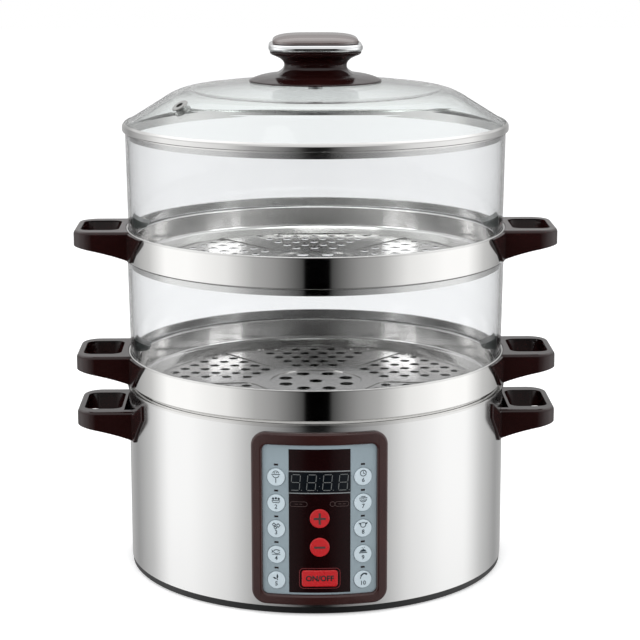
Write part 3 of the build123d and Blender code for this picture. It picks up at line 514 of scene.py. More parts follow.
def moulded(name, colour, rough, grain=0.05, lift=1.25, **sockets):
    """Moulded, cast or printed stuff: slight mottling, a fine skin and a soft change of gloss."""
    finish = Finish(name, colour, rough, **sockets)
    finish.drift("Base Color", finish.pattern(35, detail=3), colour, brighter(colour, lift))
    finish.drift("Roughness", finish.pattern(60), rough * 0.85, min(1.0, rough * 1.2))
    finish.relief(finish.pattern(1400, detail=2), grain, distance=0.00004)
    return finish.material


def clear_stock(name, colour, ior, clear, shine):
    """Thin glass or clear plastic: it hardly bends what is behind it, and its skin shines."""
    hardly_bends = 1.06
    finish = Finish(
        name, colour, 0.0, IOR=hardly_bends, Transmission_Weight=1.0,
        Coat_Weight=shine, Coat_IOR=ior, Coat_Roughness=0.0,
    )
    finish.relief(finish.pattern(9, detail=2), 0.02, distance=0.0004)
    finish.let_lamps_through(clear)
    return finish.material


mirror_steel = steel("mirror_steel", (0.86, 0.855, 0.84), 0.05, 0.11, brush=0.03)
satin_steel = steel("satin_steel", (0.84, 0.84, 0.835), 0.13, 0.19, brush=0.12)
pan_steel = steel("pan_steel", (0.74, 0.735, 0.725), 0.11, 0.18, brush=0.06, smudge=14.0)
plate_steel = steel("plate_steel", (0.58, 0.575, 0.565), 0.13, 0.2, brush=0.1, smudge=20.0)
screw_steel = steel("screw_steel", (0.6, 0.6, 0.6), 0.25, 0.4)
eyelet_steel = steel("eyelet_steel", (0.42, 0.42, 0.41), 0.15, 0.25)
chrome = steel("knob_chrome", (0.88, 0.89, 0.9), 0.03, 0.06, brush=0.01)
brown_plastic = moulded("brown_plastic", (0.012, 0.0026, 0.0024), 0.14, grain=0.012)
bezel_plastic = moulded("bezel_plastic", (0.030, 0.0085, 0.0075), 0.2, grain=0.012, IOR=1.6)
cap_plastic = moulded(
    "cap_plastic", (0.040, 0.014, 0.011), 0.1, grain=0.01, IOR=2.0, Specular_IOR_Level=1.0
)
black_plastic = moulded("black_plastic", (0.006, 0.006, 0.0065), 0.35, grain=0.2)
clip_plastic = moulded("clip_plastic", (0.06, 0.068, 0.066), 0.3)
soft_rubber = moulded("soft_rubber", (0.02, 0.02, 0.02), 0.75, grain=0.4)
panel_film = moulded("panel_film", (0.28, 0.345, 0.38), 0.42, grain=0.15, lift=1.08)
key_skin = moulded("key_skin", (0.56, 0.65, 0.70), 0.3, grain=0.05, lift=1.06)
red_skin = moulded("red_skin", (0.50, 0.010, 0.014), 0.3, grain=0.05, lift=1.12)
dark_window = moulded("dark_window", (0.0075, 0.0014, 0.0016), 0.12, grain=0.01)
display_glass = moulded("display_glass", (0.0035, 0.005, 0.007), 0.1, grain=0.01)
lamp_cap = moulded("lamp_cap", (0.012, 0.006, 0.007), 0.25)
ink_dark = moulded("ink_dark", (0.018, 0.032, 0.045), 0.5, grain=0.02)
ink_black = moulded("ink_black", (0.014, 0.012, 0.013), 0.5, grain=0.02)
ink_grey = moulded("ink_grey", (0.055, 0.035, 0.033), 0.5, grain=0.02)
ink_dim = moulded("ink_dim", (0.06, 0.035, 0.033), 0.5, grain=0.02)
ink_dim_grey = moulded("ink_dim_grey", (0.12, 0.125, 0.125), 0.5, grain=0.02)
ink_red = moulded("ink_red", (0.12, 0.008, 0.01), 0.5, grain=0.02)
line_grey = moulded("line_grey", (0.2, 0.215, 0.22), 0.4, grain=0.02)
cast_aluminium = moulded("cast_aluminium", (0.62, 0.62, 0.62), 0.45, grain=0.3, Metallic=1.0)
heater_sheath = moulded("heater_sheath", (0.2, 0.18, 0.16), 0.5, Metallic=1.0)
laminate = moulded("laminate", (0.02, 0.11, 0.04), 0.4, grain=0.1)
brass = moulded("brass", (0.62, 0.45, 0.2), 0.25, Metallic=1.0)
wall_plastic = clear_stock("wall_plastic", (0.87, 0.875, 0.88), 1.49, (0.92, 0.925, 0.925), 0.6)
lid_stock = clear_stock("lid_stock", (0.90, 0.92, 0.915), 1.52, (0.92, 0.935, 0.93), 0.3)

# -------- camera, floor and light

TURN = radians(1.5)
LOOK_DOWN = 12.0
EYE = (13.8, -1498.3, 497.1)
PICTURE_WIDTH = 640
PICTURE_CENTRE = (334.3, 324.3)
FOCAL_PIXELS = 2044.8
SENSOR = 36.0


def studio_camera():
    """The eye: a long lens, in front and a little above."""
    camera_data = bpy.data.cameras.new("camera")
    camera = bpy.data.objects.new("camera", camera_data)
    bpy.context.scene.collection.objects.link(camera)
    camera_data.sensor_width = SENSOR
    camera_data.lens = SENSOR * FOCAL_PIXELS / PICTURE_WIDTH
    camera_data.shift_x = (PICTURE_WIDTH / 2 - PICTURE_CENTRE[0]) / PICTURE_WIDTH
    camera_data.shift_y = (PICTURE_CENTRE[1] - PICTURE_WIDTH / 2) / PICTURE_WIDTH
    camera_data.clip_end = 50.0
    camera.location = Matrix.Rotation(-TURN, 4, "Z") @ metres(*EYE)
    camera.rotation_euler = (radians(90.0 - LOOK_DOWN), 0, -TURN)
    bpy.context.scene.camera = camera
    bpy.context.scene.view_settings.view_transform = "Standard"


# Light of the walls, from straight ahead of the panel (0) round to straight behind it (1)
WALL_LIGHT = (
    (0.0, 0.0), (0.040, 0.0), (0.048, 0.07), (0.14, 0.32), (0.21, 0.46), (0.31, 0.9),
    (0.46, 1.12), (0.57, 1.12), (0.67, 0.62), (0.80, 0.34), (1.0, 0.6),
)
BAY_TOP = ((0.22, 0.0), (0.34, 1.0))
ABOVE_THE_BAY = 0.8
TABLE_SHADE = 0.3
OVERHEAD_GLOSS = 0.6
OVERHEAD_BAND = ((0.45, 0.0), (0.62, 1.0), (0.9, 1.0), (1.0, 0.7))
MATT_LIGHT, MATT_COLOUR = 0.75, (0.98, 0.99, 1.0)
FLOOR_GLOW = 0.42


def after_gloss(surroundings):
    """The light path, and a switch that is on for a ray that a polished face has thrown back."""
    path = surroundings.add("ShaderNodeLightPath")
    return path, surroundings.maths("GREATER_THAN", (path, "Glossy Depth"), 0.5)


def studio_world():
    """White walls all round, with a dark bay on the side that faces the panel."""
    world = bpy.data.worlds.new("studio")
    bpy.context.scene.world = world
    world.use_nodes = True
    studio = Nodes(world.node_tree)
    where = studio.add("ShaderNodeTexCoord")
    way = studio.add("ShaderNodeSeparateXYZ")
    studio.link(where, "Generated", way, 0)
    side = studio.maths("ABSOLUTE", (way, "X"))
    front = studio.maths("MULTIPLY", (way, "Y"), -1.0)
    turn = studio.maths("ARCTAN2", (side, 0), (front, 0))
    walls = studio.ramp(studio.maths("DIVIDE", (turn, 0), pi), 0, WALL_LIGHT)
    # Polished edges that face the table show it dark
    table = studio.step(way, "Z", -0.6, -0.3, least=TABLE_SHADE)
    sides = studio.maths("MULTIPLY", (walls, "Color"), (table, "Result"))
    # The dark bay ends a little above the height of the eye
    above = studio.add("ShaderNodeMix", data_type="FLOAT")
    studio.link(studio.ramp(way, "Z", BAY_TOP), "Color", above, 0)
    studio.link(sides, 0, above, 2)
    above.inputs[3].default_value = ABOVE_THE_BAY
    # A long lamp overhead, behind the middle, that only polished faces show
    high = studio.ramp(way, "Z", OVERHEAD_BAND)
    behind = studio.step(way, "Y", -0.25, 0.15)
    lamp = studio.maths("MULTIPLY", (high, "Color"), (behind, "Result"))
    strong = studio.maths("MULTIPLY_ADD", (lamp, 0), OVERHEAD_GLOSS, (above, 0))
    seen_in_gloss = studio.glow("ShaderNodeBackground", 1.0)
    studio.link(strong, 0, seen_in_gloss, "Color")
    on_matt = studio.glow("ShaderNodeBackground", MATT_LIGHT, MATT_COLOUR)
    path, thrown = after_gloss(studio)
    clean = studio.mixed(thrown, 0, studio.glow("ShaderNodeBackground", 1.0), seen_in_gloss)
    whole = studio.mixed(path, "Is Diffuse Ray", clean, on_matt)
    studio.link(whole, 0, studio.add("ShaderNodeOutputWorld"), "Surface")


def studio_floor():
    """Pale floor that stays white to the eye and keeps the shadow."""
    alone()
    bpy.ops.mesh.primitive_plane_add(size=12.0)
    floor = bpy.context.object
    floor.name = "floor"
    paper = Finish("floor_paper", (0.86, 0.86, 0.86), 0.9, Specular_IOR_Level=0.0)
    path, thrown = after_gloss(paper)
    seen = paper.maths("MAXIMUM", (path, "Is Camera Ray"), (path, "Is Transmission Ray"))
    dark, bright = (paper.glow("ShaderNodeEmission", light) for light in (0.0, FLOOR_GLOW))
    both = paper.add("ShaderNodeAddShader")
    paper.link(paper.shader, 0, both, 0)
    paper.link(paper.mixed(seen, 0, dark, bright), 0, both, 1)
    # What a polished face throws back goes past the floor to the studio walls
    past = paper.add("ShaderNodeBsdfTransparent")
    paper.link(paper.mixed(thrown, 0, both, past), 0, paper.output, "Surface")
    floor.data.materials.append(paper.material)
    floor.visible_glossy = False


def softbox(name, power, size, place):
    """A square area lamp that looks at the middle of the steamer and leaves no reflection."""
    lamp = bpy.data.lights.new(name, "AREA")
    lamp.energy = power
    lamp.size = size
    box = bpy.data.objects.new(name, lamp)
    bpy.context.scene.collection.objects.link(box)
    box.location = place
    box.visible_glossy = False
    way = Vector((0, 0, 0.2)) - Vector(place)
    box.rotation_euler = way.to_track_quat("-Z", "Y").to_euler()


studio_camera()
studio_world()
studio_floor()
softbox("overhead_box", power=9.0, size=1.1, place=(-0.1, -0.2, 1.75))
softbox("left_box", power=5.0, size=0.8, place=(-1.5, -0.8, 0.9))
softbox("right_box", power=4.0, size=0.8, place=(1.5, -0.7, 0.8))

# -------- handles


def make_handle(name, body, top, half, hole_start, wing, pocket=0.0):
    """A right-hand handle: loop with a swept underside, and wings that hug the round wall.
    wing is its outline as (across, height) points, and pocket the depth of the open well."""
    root, end = top - ROOT_HEIGHT, top - END_HEIGHT
    width = HANDLE_REACH - GRIP_START
    middle = (HANDLE_REACH + GRIP_START) / 2
    grip = rolled_block(
        "grip", width, 2 * half, ROOT_HEIGHT, HANDLE_CORNER, root, middle, EDGE_ROLL
    )
    past_end, past_start, under = HANDLE_REACH + 1, GRIP_START - 2, root - 2
    sweep = bow((SWEEP_START, root), (SWEEP_MIDDLE, root + SWEEP_RISE), (past_end, end), steps=8)
    sweep += [(past_end, under), (past_start, under), (past_start, root)]
    below = drawn("below", [(x, -half - 2, z) for x, z in sweep])
    carve(grip, pushed(below, 0, 2 * half + 4, 0))
    length, opening = HANDLE_REACH - END_WALL - hole_start, 2 * (half - SIDE_WALL)
    hole = rolled_block(
        "hole", length, opening, ROOT_HEIGHT + 1, HOLE_CORNER, root - 1,
        hole_start + length / 2, HOLE_ROLL, way=1,
    )
    open_up(hole, "FACE")
    pick(hole, "faces", lambda f: f.normal.z < -0.9)
    bpy.ops.transform.resize(value=(*HOLE_TAPER, 1))
    close_up()
    carve(grip, hole)
    soften(grip, 0.7)
    heights = [height for _, height in wing]
    low, high = min(heights), max(heights)
    hug = drum(HANDLE_WALL + WING, low - 1, high + 1)
    edge = drawn("edge", [(GRIP_START, across, height) for across, height in wing])
    carve(hug, pushed(edge, width, 0, 0), "INTERSECT")
    soften(hug, 0.5)
    carve(grip, hug, "UNION")
    carve(grip, drum(HANDLE_WALL, low - 5, high + 5))
    if pocket:
        depth = WELL_END - GRIP_START
        across, foot = GRIP_START + depth / 2, top - pocket
        carve(grip, block("well", depth, opening, 2 * pocket, 0, bottom=foot, across=across))
    tidy_shell(grip, 0.001)
    other = flipped(grip, "other")
    deliver(grip, f"{name}_right_grip", body, brown_plastic, [f"{name}_right"])
    deliver(other, f"{name}_left_grip", body, brown_plastic, [f"{name}_left"])


def both_ways(half_outline):
    """The whole of an outline that is the same on both sides."""
    return [*half_outline, *((-across, height) for across, height in reversed(half_outline))]


for tier, seat in TIERS:
    rim = seat + RIM_HEIGHT
    wing = both_ways(((64.5, rim - 1), (41, rim - ROOT_HEIGHT)))
    make_handle(f"{tier}_handle", f"{tier}_tier", rim, half=33.5, hole_start=144.5, wing=wing)
base_top = FIRST_SEAT - 13.5
wing = both_ways(
    ((43, base_top - 0.6), (61.5, base_top + 11), (61.5, base_top), (43, base_top - ROOT_HEIGHT))
)
make_handle("base_handle", "base", base_top, half=37.0, hole_start=144.7, wing=wing, pocket=17.5)

# -------- lid


def make_lid_rim():
    """Rolled steel rim that carries the glass."""
    edge, seat, lip = 141.4, 138.6, 139.4
    glass_radius, glass_foot = GLASS_EDGE
    band_top = glass_foot + (glass_radius - edge) * GLASS_SLOPE + 0.1
    lip_height = glass_foot + (glass_radius - lip) * GLASS_SLOPE
    under_glass = glass_foot - 4.0 * cos(atan(GLASS_SLOPE)) - 0.05
    beside_glass = glass_radius + 0.25
    skirt, skirt_foot, fold = LIP_RADIUS - 0.7, LID_SEAT - 3.9, LID_SEAT + 1.3
    section = (
        (skirt, skirt_foot),
        (LIP_RADIUS, skirt_foot),
        (LIP_RADIUS, LID_SEAT),
        (seat, LID_SEAT),
        (seat, fold),
        (edge, fold),
        (edge, band_top),
        (lip, lip_height + 0.75),
        (lip, lip_height + 0.05),
        (beside_glass, lip_height - 0.7),
        (beside_glass, under_glass),
        (skirt, under_glass),
    )
    rim = lathe("rim", section, ((5, 0.8, 4), (6, 0.9, 4), (7, 0.3, 2)), steps=256)
    deliver(rim, "lid_band", "lid", pan_steel, ["lid_rim"])


make_lid_rim()


def square_sections(bottom, sections):
    """The sections of a form as deep as it is wide, from (height above the bottom, width)."""
    return [(bottom + height, width, width) for height, width in sections]


def make_knob():
    """Round flange and flared neck, bright ring and crowned cap."""

    def crown(radius):
        return GLASS_TOP + 0.1 - (CROWN_RADIUS - sqrt(CROWN_RADIUS**2 - radius**2))

    flange = 48.4
    section = [(radius, crown(radius)) for radius in (0.0, 16.0, 32.0, flange)]
    section += [
        (flange, GLASS_TOP - 0.7),
        (42.0, GLASS_TOP + 2.3),
        (29.0, GLASS_TOP + 4.2),
        (0.0, GLASS_TOP + 4.2),
    ]
    base = lathe("flange", section, ((4, 0.35, 3), (5, 5.0, 5)), steps=128)
    flare = (
        (2.6, 60.0), (3.3, 57.6), (4.1, 55.0), (5.0, 52.2), (6.0, 49.4), (7.2, 47.2),
        (8.6, 45.9), (10.0, 45.4), (11.4, 45.5), (12.8, 46.4), (14.2, 48.4), (15.5, 51.4),
        (16.7, 55.6), (17.7, 60.0), (18.5, 63.6), (19.3, 65.6), (20.1, 66.3), (20.7, 66.3),
    )
    carve(base, stacked("neck", square_sections(GLASS_TOP, flare), corner=18.5), "UNION")
    deliver(base, "knob_neck", "lid", brown_plastic, ["knob_base"], angle=40)

    bottom = GLASS_TOP + flare[-1][0]
    height, width, bulge, steps = 5.5, 68.4, 2.3, 10
    turns = [pi * step / steps for step in range(steps + 1)]
    round_edge = [
        (height * (1 - cos(turn)) / 2, width - 2 * bulge * (1 - sin(turn))) for turn in turns
    ]
    ring = stacked("ring", square_sections(bottom, round_edge), corner=19.0)
    bore, corner = 56.1, 15.0
    carve(ring, block("bore", bore, bore, 3 * height, corner, bottom=bottom - height))
    deliver(ring, "knob_bright_ring", "lid", chrome, ["knob_ring"], angle=40)

    plug_width, cap_width, cap_height, side = 56.0, 62.6, 6.6, 1.2
    sections = [(0.0, plug_width), (height, plug_width)]
    edge = ((0.0, 0.978), (0.5, 0.995), (side, 1.0), (1.9, 0.995))
    sections += [(height + rise, cap_width * share) for rise, share in edge]
    for share in (0.98, 0.955, 0.92, 0.87, 0.8, 0.71, 0.6, 0.47, 0.33, 0.18):
        rise = side + (cap_height - side) * sqrt(1 - share**3.6)
        sections.append((height + rise, cap_width * share))
    cap = stacked("cap", square_sections(bottom, sections), corner)
    deliver(cap, "knob_crown", "lid", cap_plastic, ["knob_cap"], angle=60)


make_knob()

# -------- tiers


def make_pan():
    """Drawn pan with a turned rim; the bright line along the top of a tier is its rim."""
    plate_seat = PLATE_TOP - PLATE_SHEET
    line = (
        (PLATE_SEAT_INNER, plate_seat),
        (PLATE_RADIUS + 0.3, plate_seat),
        (PAN_RADIUS, PAN_FOOT),
        (PAN_RADIUS, LEDGE_HEIGHT),
        (RISER_RADIUS, LEDGE_HEIGHT),
        (RISER_RADIUS, RIM_HEIGHT),
        (BEAD_RADIUS, RIM_HEIGHT),
        (BEAD_RADIUS, HOOP_HEIGHT),
    )
    bends = ((1, 1.6), (2, 2.4), (3, 1.0), (4, 1.0), (5, 0.7), (6, 0.7))
    return bent_sheet("pan", line, SHEET, bends)


def make_hoop():
    """Outer hoop with the stepped-in lip that nests in what is below."""
    line = (
        (HOOP_RADIUS, HOOP_HEIGHT),
        (HOOP_RADIUS, LIP_HEIGHT),
        (LIP_RADIUS, LIP_HEIGHT),
        (LIP_RADIUS, 0.0),
    )
    return bent_sheet("hoop", line, SHEET, ((1, 1.2), (2, 0.9)))


def pegs(places, radius, low, high, sides):
    """Upright round cutters at (x, y) places, as one piece."""
    first = drum(radius, low, high, sides)
    cutters = []
    for x, y in places:
        cutter = copied(first, "peg")
        cutter.location = metres(x, y, 0)
        cutters.append(settle(cutter))
    bpy.data.objects.remove(first)
    return joined(cutters, "pegs")


def make_steam_plate():
    """Perforated plate: sunk sectors of staggered holes, raised lands and a hub of larger holes."""
    bottom, top = PLATE_TOP - PLATE_SHEET, PLATE_TOP + 0.6
    sectors, pitch, first_row, hole_radius = 6, 14.0, 52.0, 3.75
    hub_radius, hub_holes, hub_circle, hub_hole_radius = 34.5, 8, 24.6, 5.0
    plate = drum(PLATE_RADIUS, bottom, PLATE_TOP, steps=144)
    places = []
    for sector in range(sectors):
        turn = Matrix.Rotation(sector * 2 * pi / sectors, 2)
        for row, count in enumerate((3, 4, 5, 6, 7)):
            for hole in range(count):
                across = (hole - (count - 1) / 2) * pitch
                places.append(turn @ Vector((across, first_row + pitch * row)))
    carve(plate, pegs(places, hole_radius, bottom - 1, top + 1, sides=16))
    turns = [pi * (2 * number + 1) / hub_holes for number in range(hub_holes)]
    hub = [(0, 0)] + [(hub_circle * sin(turn), hub_circle * cos(turn)) for turn in turns]
    carve(plate, pegs(hub, hub_hole_radius, bottom - 1, top + 1, sides=24))
    lands = drum(PLATE_RADIUS, PLATE_TOP - 0.3, top, steps=144)
    for sector in range(sectors):
        field = drawn(
            "field",
            [(-21, 44.5, -1), (21, 44.5, -1), (51, 118, -1), (-51, 118, -1)],
            ((0, 8, 5), (1, 8, 5), (2, 14, 6), (3, 14, 6)),
        )
        pushed(field, 0, 0, 5)
        field.rotation_euler.z = sector * 2 * pi / sectors
        settle(field)
        carve(lands, field)
    carve(lands, drum(hub_radius, -1, top + 2, steps=96))
    split_up(lands)
    soften(lands, 0.4)
    split_up(plate)
    return joined([plate, lands], "plate")


def make_clips():
    """Two dark clips with grooved, hollowed slopes that hold the foot of the clear wall."""
    half, foot = 8.0, LEDGE_HEIGHT
    back = WALL_FOOT - WALL_THICK - 0.1 - (PAN_RADIUS - sqrt(PAN_RADIUS**2 - half**2))
    front, tip = PAN_RADIUS + 0.05, back - 12.0
    side = bow((back, foot + 15), (back - 5, foot + 11.6), (tip, foot + 9.5), steps=5)
    side += [(tip + 1, foot + 7), (tip + 4, foot + 5.9), (front, foot + 5.5)]
    side += [(front, foot), (back, foot)]
    clip = pushed(drawn("clip", [(x, -half, z) for x, z in side]), 0, 2 * half, 0)
    for across in (-4.2, 0.0, 4.2):
        groove = block("groove", width=24, depth=1.5, thick=3, corner=0.74, segments=4)
        groove.rotation_euler.y = radians(-24)
        groove.location = metres(back - 6, across, foot + 11.2)
        carve(clip, settle(groove))
    soften(clip, 0.7)
    return joined([clip, flipped(clip, "left")], "clips")


pan, hoop, plate, clips = make_pan(), make_hoop(), make_steam_plate(), make_clips()
for tier, seat in TIERS:
    for part, name, finish, slot, stands_for in (
        (pan, "drawn_pan", pan_steel, "steel", "pan"),
        (hoop, "outer_hoop", mirror_steel, "steel", "hoop"),
        (plate, "perforated_plate", plate_steel, "steel", "steam_plate"),
        (clips, "wall_clips", clip_plastic, "clip_plastic", "clips"),
    ):
        piece = raised(part, name, seat)
        deliver(piece, f"{tier}_{name}", f"{tier}_tier", finish, [f"{tier}_{stands_for}"])
for part in (pan, hoop, plate, clips):
    bpy.data.objects.remove(part)

# -------- panel prints


def on_panel(piece, azimuth, height, radius):
    """Stand a flat piece up on the panel, at an angle from its middle."""
    piece.rotation_euler = (pi / 2, 0, radians(azimuth))
    piece.location = metres(radius * sin(radians(azimuth)), -radius * cos(radians(azimuth)), height)
    return settle(piece)


def print_on_key(marks, key, height, ink, azimuth=0.0):
    """Lay flat marks on the face of a key as one print."""
    mark = on_panel(inked(marks, "mark"), azimuth, height, PANEL_FACE + KEY_PROUD + PRINT_GAP)
    deliver(mark, f"{key}_print", key, ink, angle=0)


def line_mark(points, width=0.42):
    """A flat stroke along points."""
    shifted = both_faces(points, -width / 2)[len(points):][::-1]
    outline = both_faces(shifted, width)
    return drawn("mark", [(x, y, 0) for x, y in outline])


def arc_mark(x, y, radius, start, stop, width, steps=10, squash=1.0):
    """A flat stroke along part of a circle; angles in degrees, from the right, turning left."""
    turns = [radians(start + (stop - start) * step / steps) for step in range(steps + 1)]
    return line_mark([(x + radius * cos(t), y + radius * squash * sin(t)) for t in turns], width)


def spot(x, y, radius, sides=12):
    """A flat round dot."""
    alone()
    bpy.ops.mesh.primitive_circle_add(vertices=sides, radius=radius * MM, fill_type="NGON")
    piece = bpy.context.object
    piece.location = metres(x, y, 0)
    return settle(piece)


def patch(*points):
    """A flat filled shape."""
    return drawn("patch", [(x, y, 0) for x, y in points])


def lettered(words, size, weight, y=0.0):
    """Flat lettering, as a mesh."""
    alone()
    bpy.ops.object.text_add()
    text = bpy.context.object
    text.data.body = words
    text.data.align_x, text.data.align_y = "CENTER", "CENTER"
    text.data.size = size * MM
    text.data.offset = weight * MM
    text.data.resolution_u = 3
    bpy.ops.object.convert(target="MESH")
    text = bpy.context.object
    text.location = metres(0, y, 0)
    return settle(text)


def inked(parts, name, thick=0.08):
    """Flat marks joined into one thin print."""
    print_mesh = joined(parts, name)
    open_whole(print_mesh, "FACE")
    bpy.ops.mesh.remove_doubles(threshold=0.0005 * MM)
    pull(0, 0, thick)
    bpy.ops.mesh.select_all(action="SELECT")
    bpy.ops.mesh.normals_make_consistent(inside=False)
    close_up()
    return print_mesh


def rice_bowl():
    return [
        line_mark(((-3.1, 2.1), (3.1, 2.1)), 0.5),
        arc_mark(0, 2.1, 2.4, 200, 340, 0.5),
        arc_mark(0, 2.4, 2.2, 15, 165, 0.45),
        spot(-0.8, 3.2, 0.4),
        spot(0.7, 3.4, 0.4),
    ]


def buns_on_tray():
    return [
        spot(-2.0, 3.3, 0.85),
        spot(0.0, 3.6, 0.85),
        spot(2.0, 3.3, 0.85),
        line_mark(((-3.0, 1.9), (3.0, 1.9)), 0.5),
        line_mark(((-2.8, 1.3), (-2.0, 0.5), (2.0, 0.5), (2.8, 1.3)), 0.45),
    ]


def diced_vegetables():
    marks = []
    for x, y, size in ((-1.5, 3.2, 1.2), (1.5, 2.7, 1.35), (-0.5, 1.0, 1.1)):
        corners = [(x - size, y), (x, y + size), (x + size, y), (x, y - size)]
        corners.append((x - size + 0.3, y - 0.3))
        marks.append(line_mark(corners, 0.5))
    return marks


def fish_on_plate():
    return [
        arc_mark(0.4, 2.3, 2.3, 20, 160, 0.5, squash=0.6),
        arc_mark(0.4, 2.3, 2.3, 200, 340, 0.5, squash=0.6),
        patch((-1.7, 2.3), (-3.4, 3.6), (-2.9, 2.3), (-3.4, 1.0)),
        spot(1.3, 2.7, 0.3),
        line_mark(((-3.0, 0.2), (3.0, 0.2)), 0.4),
    ]


def sprout():
    return [
        patch((0.3, 1.1), (0.1, 3.0), (0.7, 4.8), (1.4, 3.2), (1.1, 1.5)),
        patch((0.1, 0.9), (-1.3, 1.0), (-2.6, 2.2), (-1.2, 2.3), (-0.1, 1.7)),
        line_mark(((0.5, 1.0), (0.9, 0.2)), 0.6),
    ]


def clock_face():
    return [
        arc_mark(0, 2.6, 2.1, 0, 350, 0.55, 20),
        line_mark(((0, 4.0), (0, 2.6), (1.1, 2.1)), 0.42),
    ]


def hot_pot():
    return [
        line_mark(((-1.5, 4.3), (1.5, 4.3)), 0.55),
        line_mark(((-2.9, 3.4), (2.9, 3.4)), 0.5),
        arc_mark(0, 3.0, 2.5, 190, 350, 0.5),
        arc_mark(0, 2.7, 1.3, 190, 350, 0.4),
        spot(0, 2.6, 0.35),
    ]


def stew_pot():
    return [
        patch((-3.3, 4.2), (-1.3, 4.0), (-1.5, 2.9), (-2.6, 3.0)),
        patch((3.3, 4.2), (2.6, 3.0), (1.5, 2.9), (1.3, 4.0)),
        arc_mark(0, 2.7, 1.9, 170, 370, 0.5),
        line_mark(((-1.2, 4.2), (1.2, 4.2)), 0.5),
    ]


def covered_dish():
    turns = [radians(turn) for turn in range(0, 181, 20)]
    dome = [(2.3 * cos(turn), 1.7 + 1.7 * sin(turn)) for turn in turns]
    return [
        patch(*dome),
        line_mark(((-2.9, 1.0), (2.9, 1.0)), 0.6),
        spot(0, 3.7, 0.4),
        line_mark(((-0.9, 4.5), (-0.5, 5.1)), 0.35),
        line_mark(((0.6, 4.5), (1.0, 5.1)), 0.35),
    ]


def drumstick():
    return [
        arc_mark(1.2, 1.6, 2.8, 65, 165, 1.0),
        line_mark(((-1.6, 2.0), (-1.9, 0.6)), 0.55),
        spot(2.3, 3.9, 0.75),
    ]


pictures = (
    rice_bowl, buns_on_tray, diced_vegetables, fish_on_plate, sprout,
    clock_face, hot_pot, stew_pot, covered_dish, drumstick,
)
for number, picture in enumerate(pictures, start=1):
    azimuth = -KEY_AZIMUTH if number <= 5 else KEY_AZIMUTH
    marks = picture() + [lettered(str(number), 4.2, weight=0.05, y=-2.5)]
    print_on_key(marks, f"key_{number}", KEY_ROWS[(number - 1) % 5], ink_dark, azimuth)

plus_strokes = (((-4.1, 0), (-0.75, 0)), ((0.75, 0), (4.1, 0)), ((0, -4.1), (0, 4.1)))
minus_strokes = (((-3.9, 0), (3.9, 0)),)
for key, height, strokes in (
    ("key_plus", PLUS_Z, plus_strokes),
    ("key_minus", MINUS_Z, minus_strokes),
):
    print_on_key([line_mark(stroke, 1.5) for stroke in strokes], key, height, ink_grey)
print_on_key([lettered("ON/OFF", 5.4, weight=0.18)], "key_power", POWER_Z, ink_black)


def window_strip(name, half_width, middle, half_height, back, front):
    """A strip that follows the dark window, between two distances in front of it."""
    low, high = middle - half_height, middle + half_height
    inner, outer = WINDOW_FACE + back, WINDOW_FACE + front
    turn, step = asin(half_width / outer), 1.2
    strip = drawn(name, [(0, -inner, low), (0, -outer, low), (0, -outer, high), (0, -inner, high)])
    strip.rotation_euler.z = -turn
    settle(strip)
    open_whole(strip, "FACE")
    bpy.ops.mesh.spin(
        steps=round(degrees(2 * turn) / step), angle=-2 * turn, center=(0, 0, 0), axis=(0, 0, 1)
    )
    close_up()
    return tidy_shell(strip, 0.0005)


def make_bezel():
    """The raised frame round the panel, with a slope from its face down to the plate."""
    bezel = bpy.data.objects.new("bezel", nodes["panel_bezel"].data.copy())
    bpy.context.scene.collection.objects.link(bezel)
    tidy_shell(bezel, 0.01)
    open_whole(bezel, "EDGE")
    bpy.ops.mesh.dissolve_limited(angle_limit=radians(0.5))
    face, half_width, half_height, slope = 143.0, 39.8, 54.0, 2.0

    def on_opening(corner):
        x, y, z = corner.co / MM
        on_face = abs(sqrt(x * x + y * y) - face) < 0.06
        return on_face and abs(x) < half_width and abs(z - PANEL_MIDDLE_Z) < half_height

    pick(bezel, "edges", lambda e: all(on_opening(corner) for corner in e.verts))
    bpy.ops.mesh.bevel(offset=slope * MM, offset_type="OFFSET", segments=3, affect="EDGES")
    close_up()
    return bezel


deliver(make_bezel(), "panel_frame", "base", bezel_plastic, ["panel_bezel"])

lens = window_strip(
    "lens", half_width=21.5, middle=DISPLAY_Z, half_height=6.9, back=0.05, front=LENS_PROUD
)
soften(lens, 0.15, segments=2)
deliver(lens, "display_lens", "base", display_glass)
for name, height in (("top", DISPLAY_Z + 7.8), ("bottom", DISPLAY_Z - 7.8)):
    strip = window_strip(
        name, half_width=21.3, middle=height, half_height=0.35, back=0.02, front=0.2
    )
    deliver(strip, f"display_{name}_line", "base", line_grey)


def on_window(piece, x, height, lift):
    """Stand a flat piece up on the dark window, at a distance from its middle line."""
    return on_panel(piece, degrees(asin(x / WINDOW_FACE)), height, WINDOW_FACE + lift)


def digit(segments, x):
    """Unlit seven-segment figure at x on the lens, with its point."""
    across, tall, gap, lean = 3.0, 5.6, 0.5, 0.09
    corners = {
        "top": ((-across + gap, tall), (across - gap, tall)),
        "high_right": ((across, tall - gap), (across, gap)),
        "low_right": ((across, -gap), (across, -tall + gap)),
        "bottom": ((across - gap, -tall), (-across + gap, -tall)),
        "low_left": ((-across, -tall + gap), (-across, -gap)),
        "high_left": ((-across, gap), (-across, tall - gap)),
        "middle": ((-across + gap, 0.0), (across - gap, 0.0)),
    }
    marks = []
    for segment in segments:
        marks.append(line_mark([(px + lean * py, py) for px, py in corners[segment]], 0.5))
    marks.append(spot(across + 1.1, -tall, 0.32, 8))
    return on_window(inked(marks, "digit", 0.06), x, DISPLAY_Z, FIGURES_PROUD)


